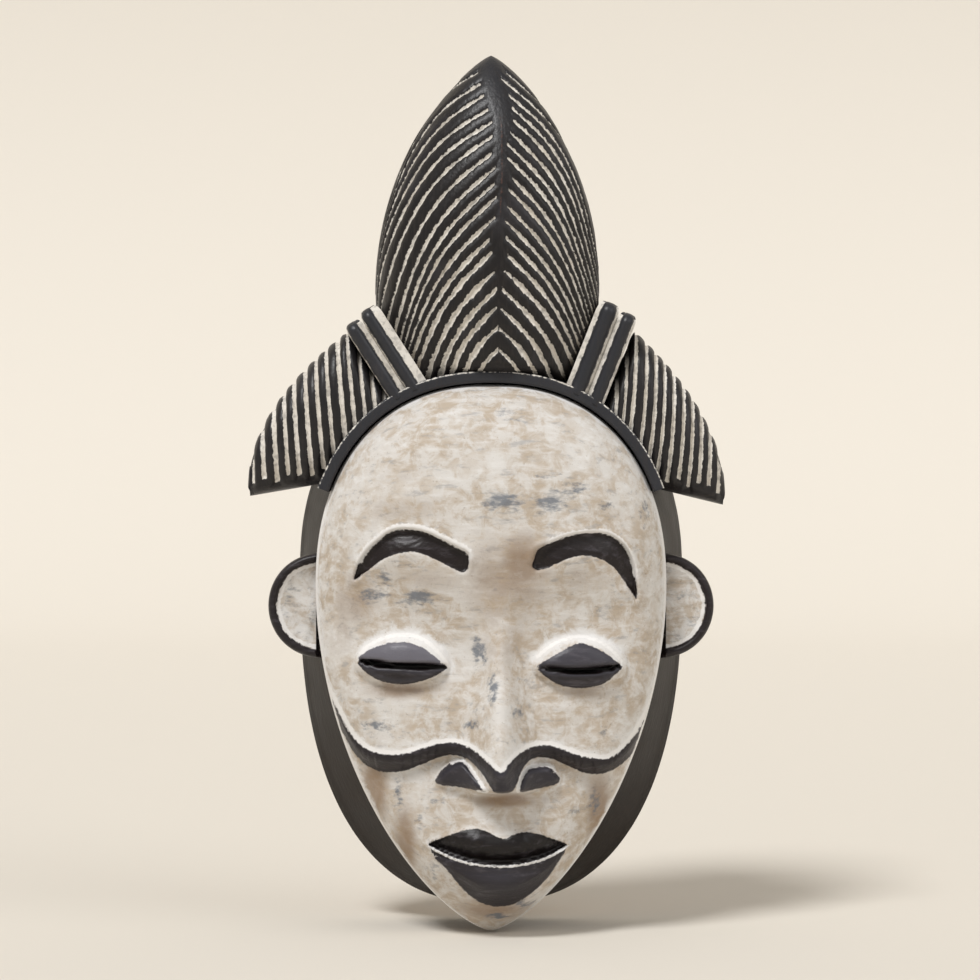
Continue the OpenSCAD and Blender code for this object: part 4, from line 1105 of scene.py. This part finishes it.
bump = add(tree, "ShaderNodeBump", {"Height": fibre, "Strength": 0.3, "Distance": 0.0003})
tree.links.new(bump.outputs[0], shader.inputs["Normal"])
for node in ("face_pins", "crest_dowels", "left_tress_dowel", "right_tress_dowel", "left_ear_dowel",
             "right_ear_dowel"):
    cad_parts[node].data.materials.clear()
    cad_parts[node].data.materials.append(beech)

# ---- Hanger ---------------------------------------------------------------------------------
# A brass strap folded round a D ring of brass wire and screwed to the back of the crest. It is
# rolled sheet and drawn wire, dulled by handling.
brass, tree, shader = finish_named("brass_sheet_dulled")
place = add(tree, "ShaderNodeTexCoord").outputs["Object"]
laid = add(tree, "ShaderNodeMapping", {"Vector": place, "Scale": (2500, 2500, 180)})
drawn = add(tree, "ShaderNodeTexNoise", {"Vector": laid, "Scale": 1.0, "Detail": 3})
dulled = add(tree, "ShaderNodeTexNoise", {"Vector": place, "Scale": 260, "Detail": 4, "Roughness": 0.6})
dulled = add(tree, "ShaderNodeMapRange", {0: dulled, 1: 0.4, 2: 0.7}, interpolation_type="SMOOTHSTEP")
colour = add(tree, "ShaderNodeMix", {0: dulled, 6: paint("#cda75a"), 7: paint("#8f7038")}, data_type="RGBA")
tree.links.new(colour.outputs[2], shader.inputs["Base Color"])
rough = add(tree, "ShaderNodeMapRange", {0: dulled, 3: 0.28, 4: 0.5})
tree.links.new(rough.outputs[0], shader.inputs["Roughness"])
shader.inputs["Metallic"].default_value = 1.0
bump = add(tree, "ShaderNodeBump", {"Height": drawn, "Strength": 0.15, "Distance": 0.0001})
tree.links.new(bump.outputs[0], shader.inputs["Normal"])
for node in ("hanger_strap", "hanger_ring"):
    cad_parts[node].data.materials.clear()
    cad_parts[node].data.materials.append(brass)

# ---- Hanger screws --------------------------------------------------------------------------
# Two slotted wood screws of bright steel, with low domed heads and a cut thread, driven through
# the strap into the crest.
steel, tree, shader = finish_named("steel_zinc_plated")
place = add(tree, "ShaderNodeTexCoord").outputs["Object"]
plating = add(tree, "ShaderNodeTexNoise", {"Vector": place, "Scale": 900, "Detail": 3})
colour = add(tree, "ShaderNodeMix", {0: plating, 6: paint("#8d9094"), 7: paint("#c3c5c7")}, data_type="RGBA")
tree.links.new(colour.outputs[2], shader.inputs["Base Color"])
rough = add(tree, "ShaderNodeMapRange", {0: plating, 3: 0.25, 4: 0.45})
tree.links.new(rough.outputs[0], shader.inputs["Roughness"])
shader.inputs["Metallic"].default_value = 1.0

screws_low, screws_high = (np.array(p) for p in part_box("hanger_screws"))
HEAD_R, HEAD_UP, SHANK_R = (screws_high[0] - screws_low[0]) / 2, 0.0015, 0.00125
places = bpy.data.meshes.new("screw_places")
places.from_pydata([(0, screws_high[1] - HEAD_UP, screws_low[2] + HEAD_R),
                    (0, screws_high[1] - HEAD_UP, screws_high[2] - HEAD_R)], [], [])
holes = bpy.data.objects.new("screw_places", places)
bpy.context.collection.objects.link(holes)

tree = bpy.data.node_groups.new("slotted_wood_screws", "GeometryNodeTree")
given = sockets(tree, "Screws", Shank="Float", Length="Float", Head="Float", Dome="Float", Pitch="Float",
                Slot="Float", Finish="Material")
size = given.outputs
ball = add(tree, "GeometryNodeMeshUVSphere", {"Segments": 40, "Rings": 24, "Radius": 1.0})
flat = add(tree, "ShaderNodeCombineXYZ", {0: size["Head"], 1: size["Head"], 2: size["Dome"]})
dome = add(tree, "GeometryNodeTransform", {"Geometry": ball.outputs[0], "Scale": flat})
under = add(tree, "GeometryNodeMeshCube", {"Size": (0.02, 0.02, 0.004)})
under = add(tree, "GeometryNodeTransform", {"Geometry": under.outputs[0], "Translation": (0, 0, -0.002)})
slot_size = add(tree, "ShaderNodeCombineXYZ", {0: 0.02, 1: size["Slot"], 2: size["Dome"]})
slot = add(tree, "GeometryNodeMeshCube", {"Size": slot_size})
slot = add(tree, "GeometryNodeTransform",
           {"Geometry": slot.outputs[0], "Translation": (0, 0, 0.0014), "Rotation": (0, 0, 0.6)})
head = add(tree, "GeometryNodeMeshBoolean", {"Mesh 1": dome, "Mesh 2": under},
           operation="DIFFERENCE", solver="FLOAT")
tree.links.new(slot.outputs[0], head.inputs["Mesh 2"])
down = add(tree, "ShaderNodeMath", {0: size["Length"], 1: -1.0}, operation="MULTIPLY")
lower = add(tree, "ShaderNodeCombineXYZ", {2: down})
shank = add(tree, "GeometryNodeMeshCone",
            {"Vertices": 24, "Radius Top": size["Shank"], "Radius Bottom": 0.0003, "Depth": size["Length"]})
shank = add(tree, "GeometryNodeTransform", {"Geometry": shank.outputs[0], "Translation": lower})
turns_made = add(tree, "ShaderNodeMath", {0: size["Length"], 1: size["Pitch"]}, operation="DIVIDE")
thread = add(tree, "GeometryNodeCurveSpiral",
             {"Resolution": 20, "Rotations": turns_made, "Start Radius": 0.0003,
              "End Radius": size["Shank"], "Height": size["Length"]})
ridge = add(tree, "GeometryNodeCurvePrimitiveCircle", {"Resolution": 3, "Radius": 0.00022})
thread = add(tree, "GeometryNodeCurveToMesh",
             {"Curve": thread, "Profile Curve": ridge.outputs[0], "Fill Caps": True})
thread = add(tree, "GeometryNodeTransform", {"Geometry": thread, "Translation": lower})
whole_screw = add(tree, "GeometryNodeJoinGeometry", {"Geometry": head})
tree.links.new(shank.outputs[0], whole_screw.inputs[0])
tree.links.new(thread.outputs[0], whole_screw.inputs[0])
set_in = add(tree, "GeometryNodeInstanceOnPoints",
             {"Points": size["Geometry"], "Instance": whole_screw, "Rotation": (-math.pi / 2, 0, 0)})
made = add(tree, "GeometryNodeRealizeInstances", {"Geometry": set_in})
made = add(tree, "GeometryNodeSetMaterial", {"Geometry": made, "Material": size["Finish"]})
add(tree, "NodeGroupOutput", {"Screws": made})
SHANK_LONG = screws_high[1] - screws_low[1] - HEAD_UP - 0.0002
screws = grown(holes, tree, "hanger_wood_screws", Shank=SHANK_R, Length=SHANK_LONG, Head=HEAD_R,
               Dome=HEAD_UP, Pitch=0.0011, Slot=0.0008, Finish=steel)
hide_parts("hanger_screws")
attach(screws, "mask")
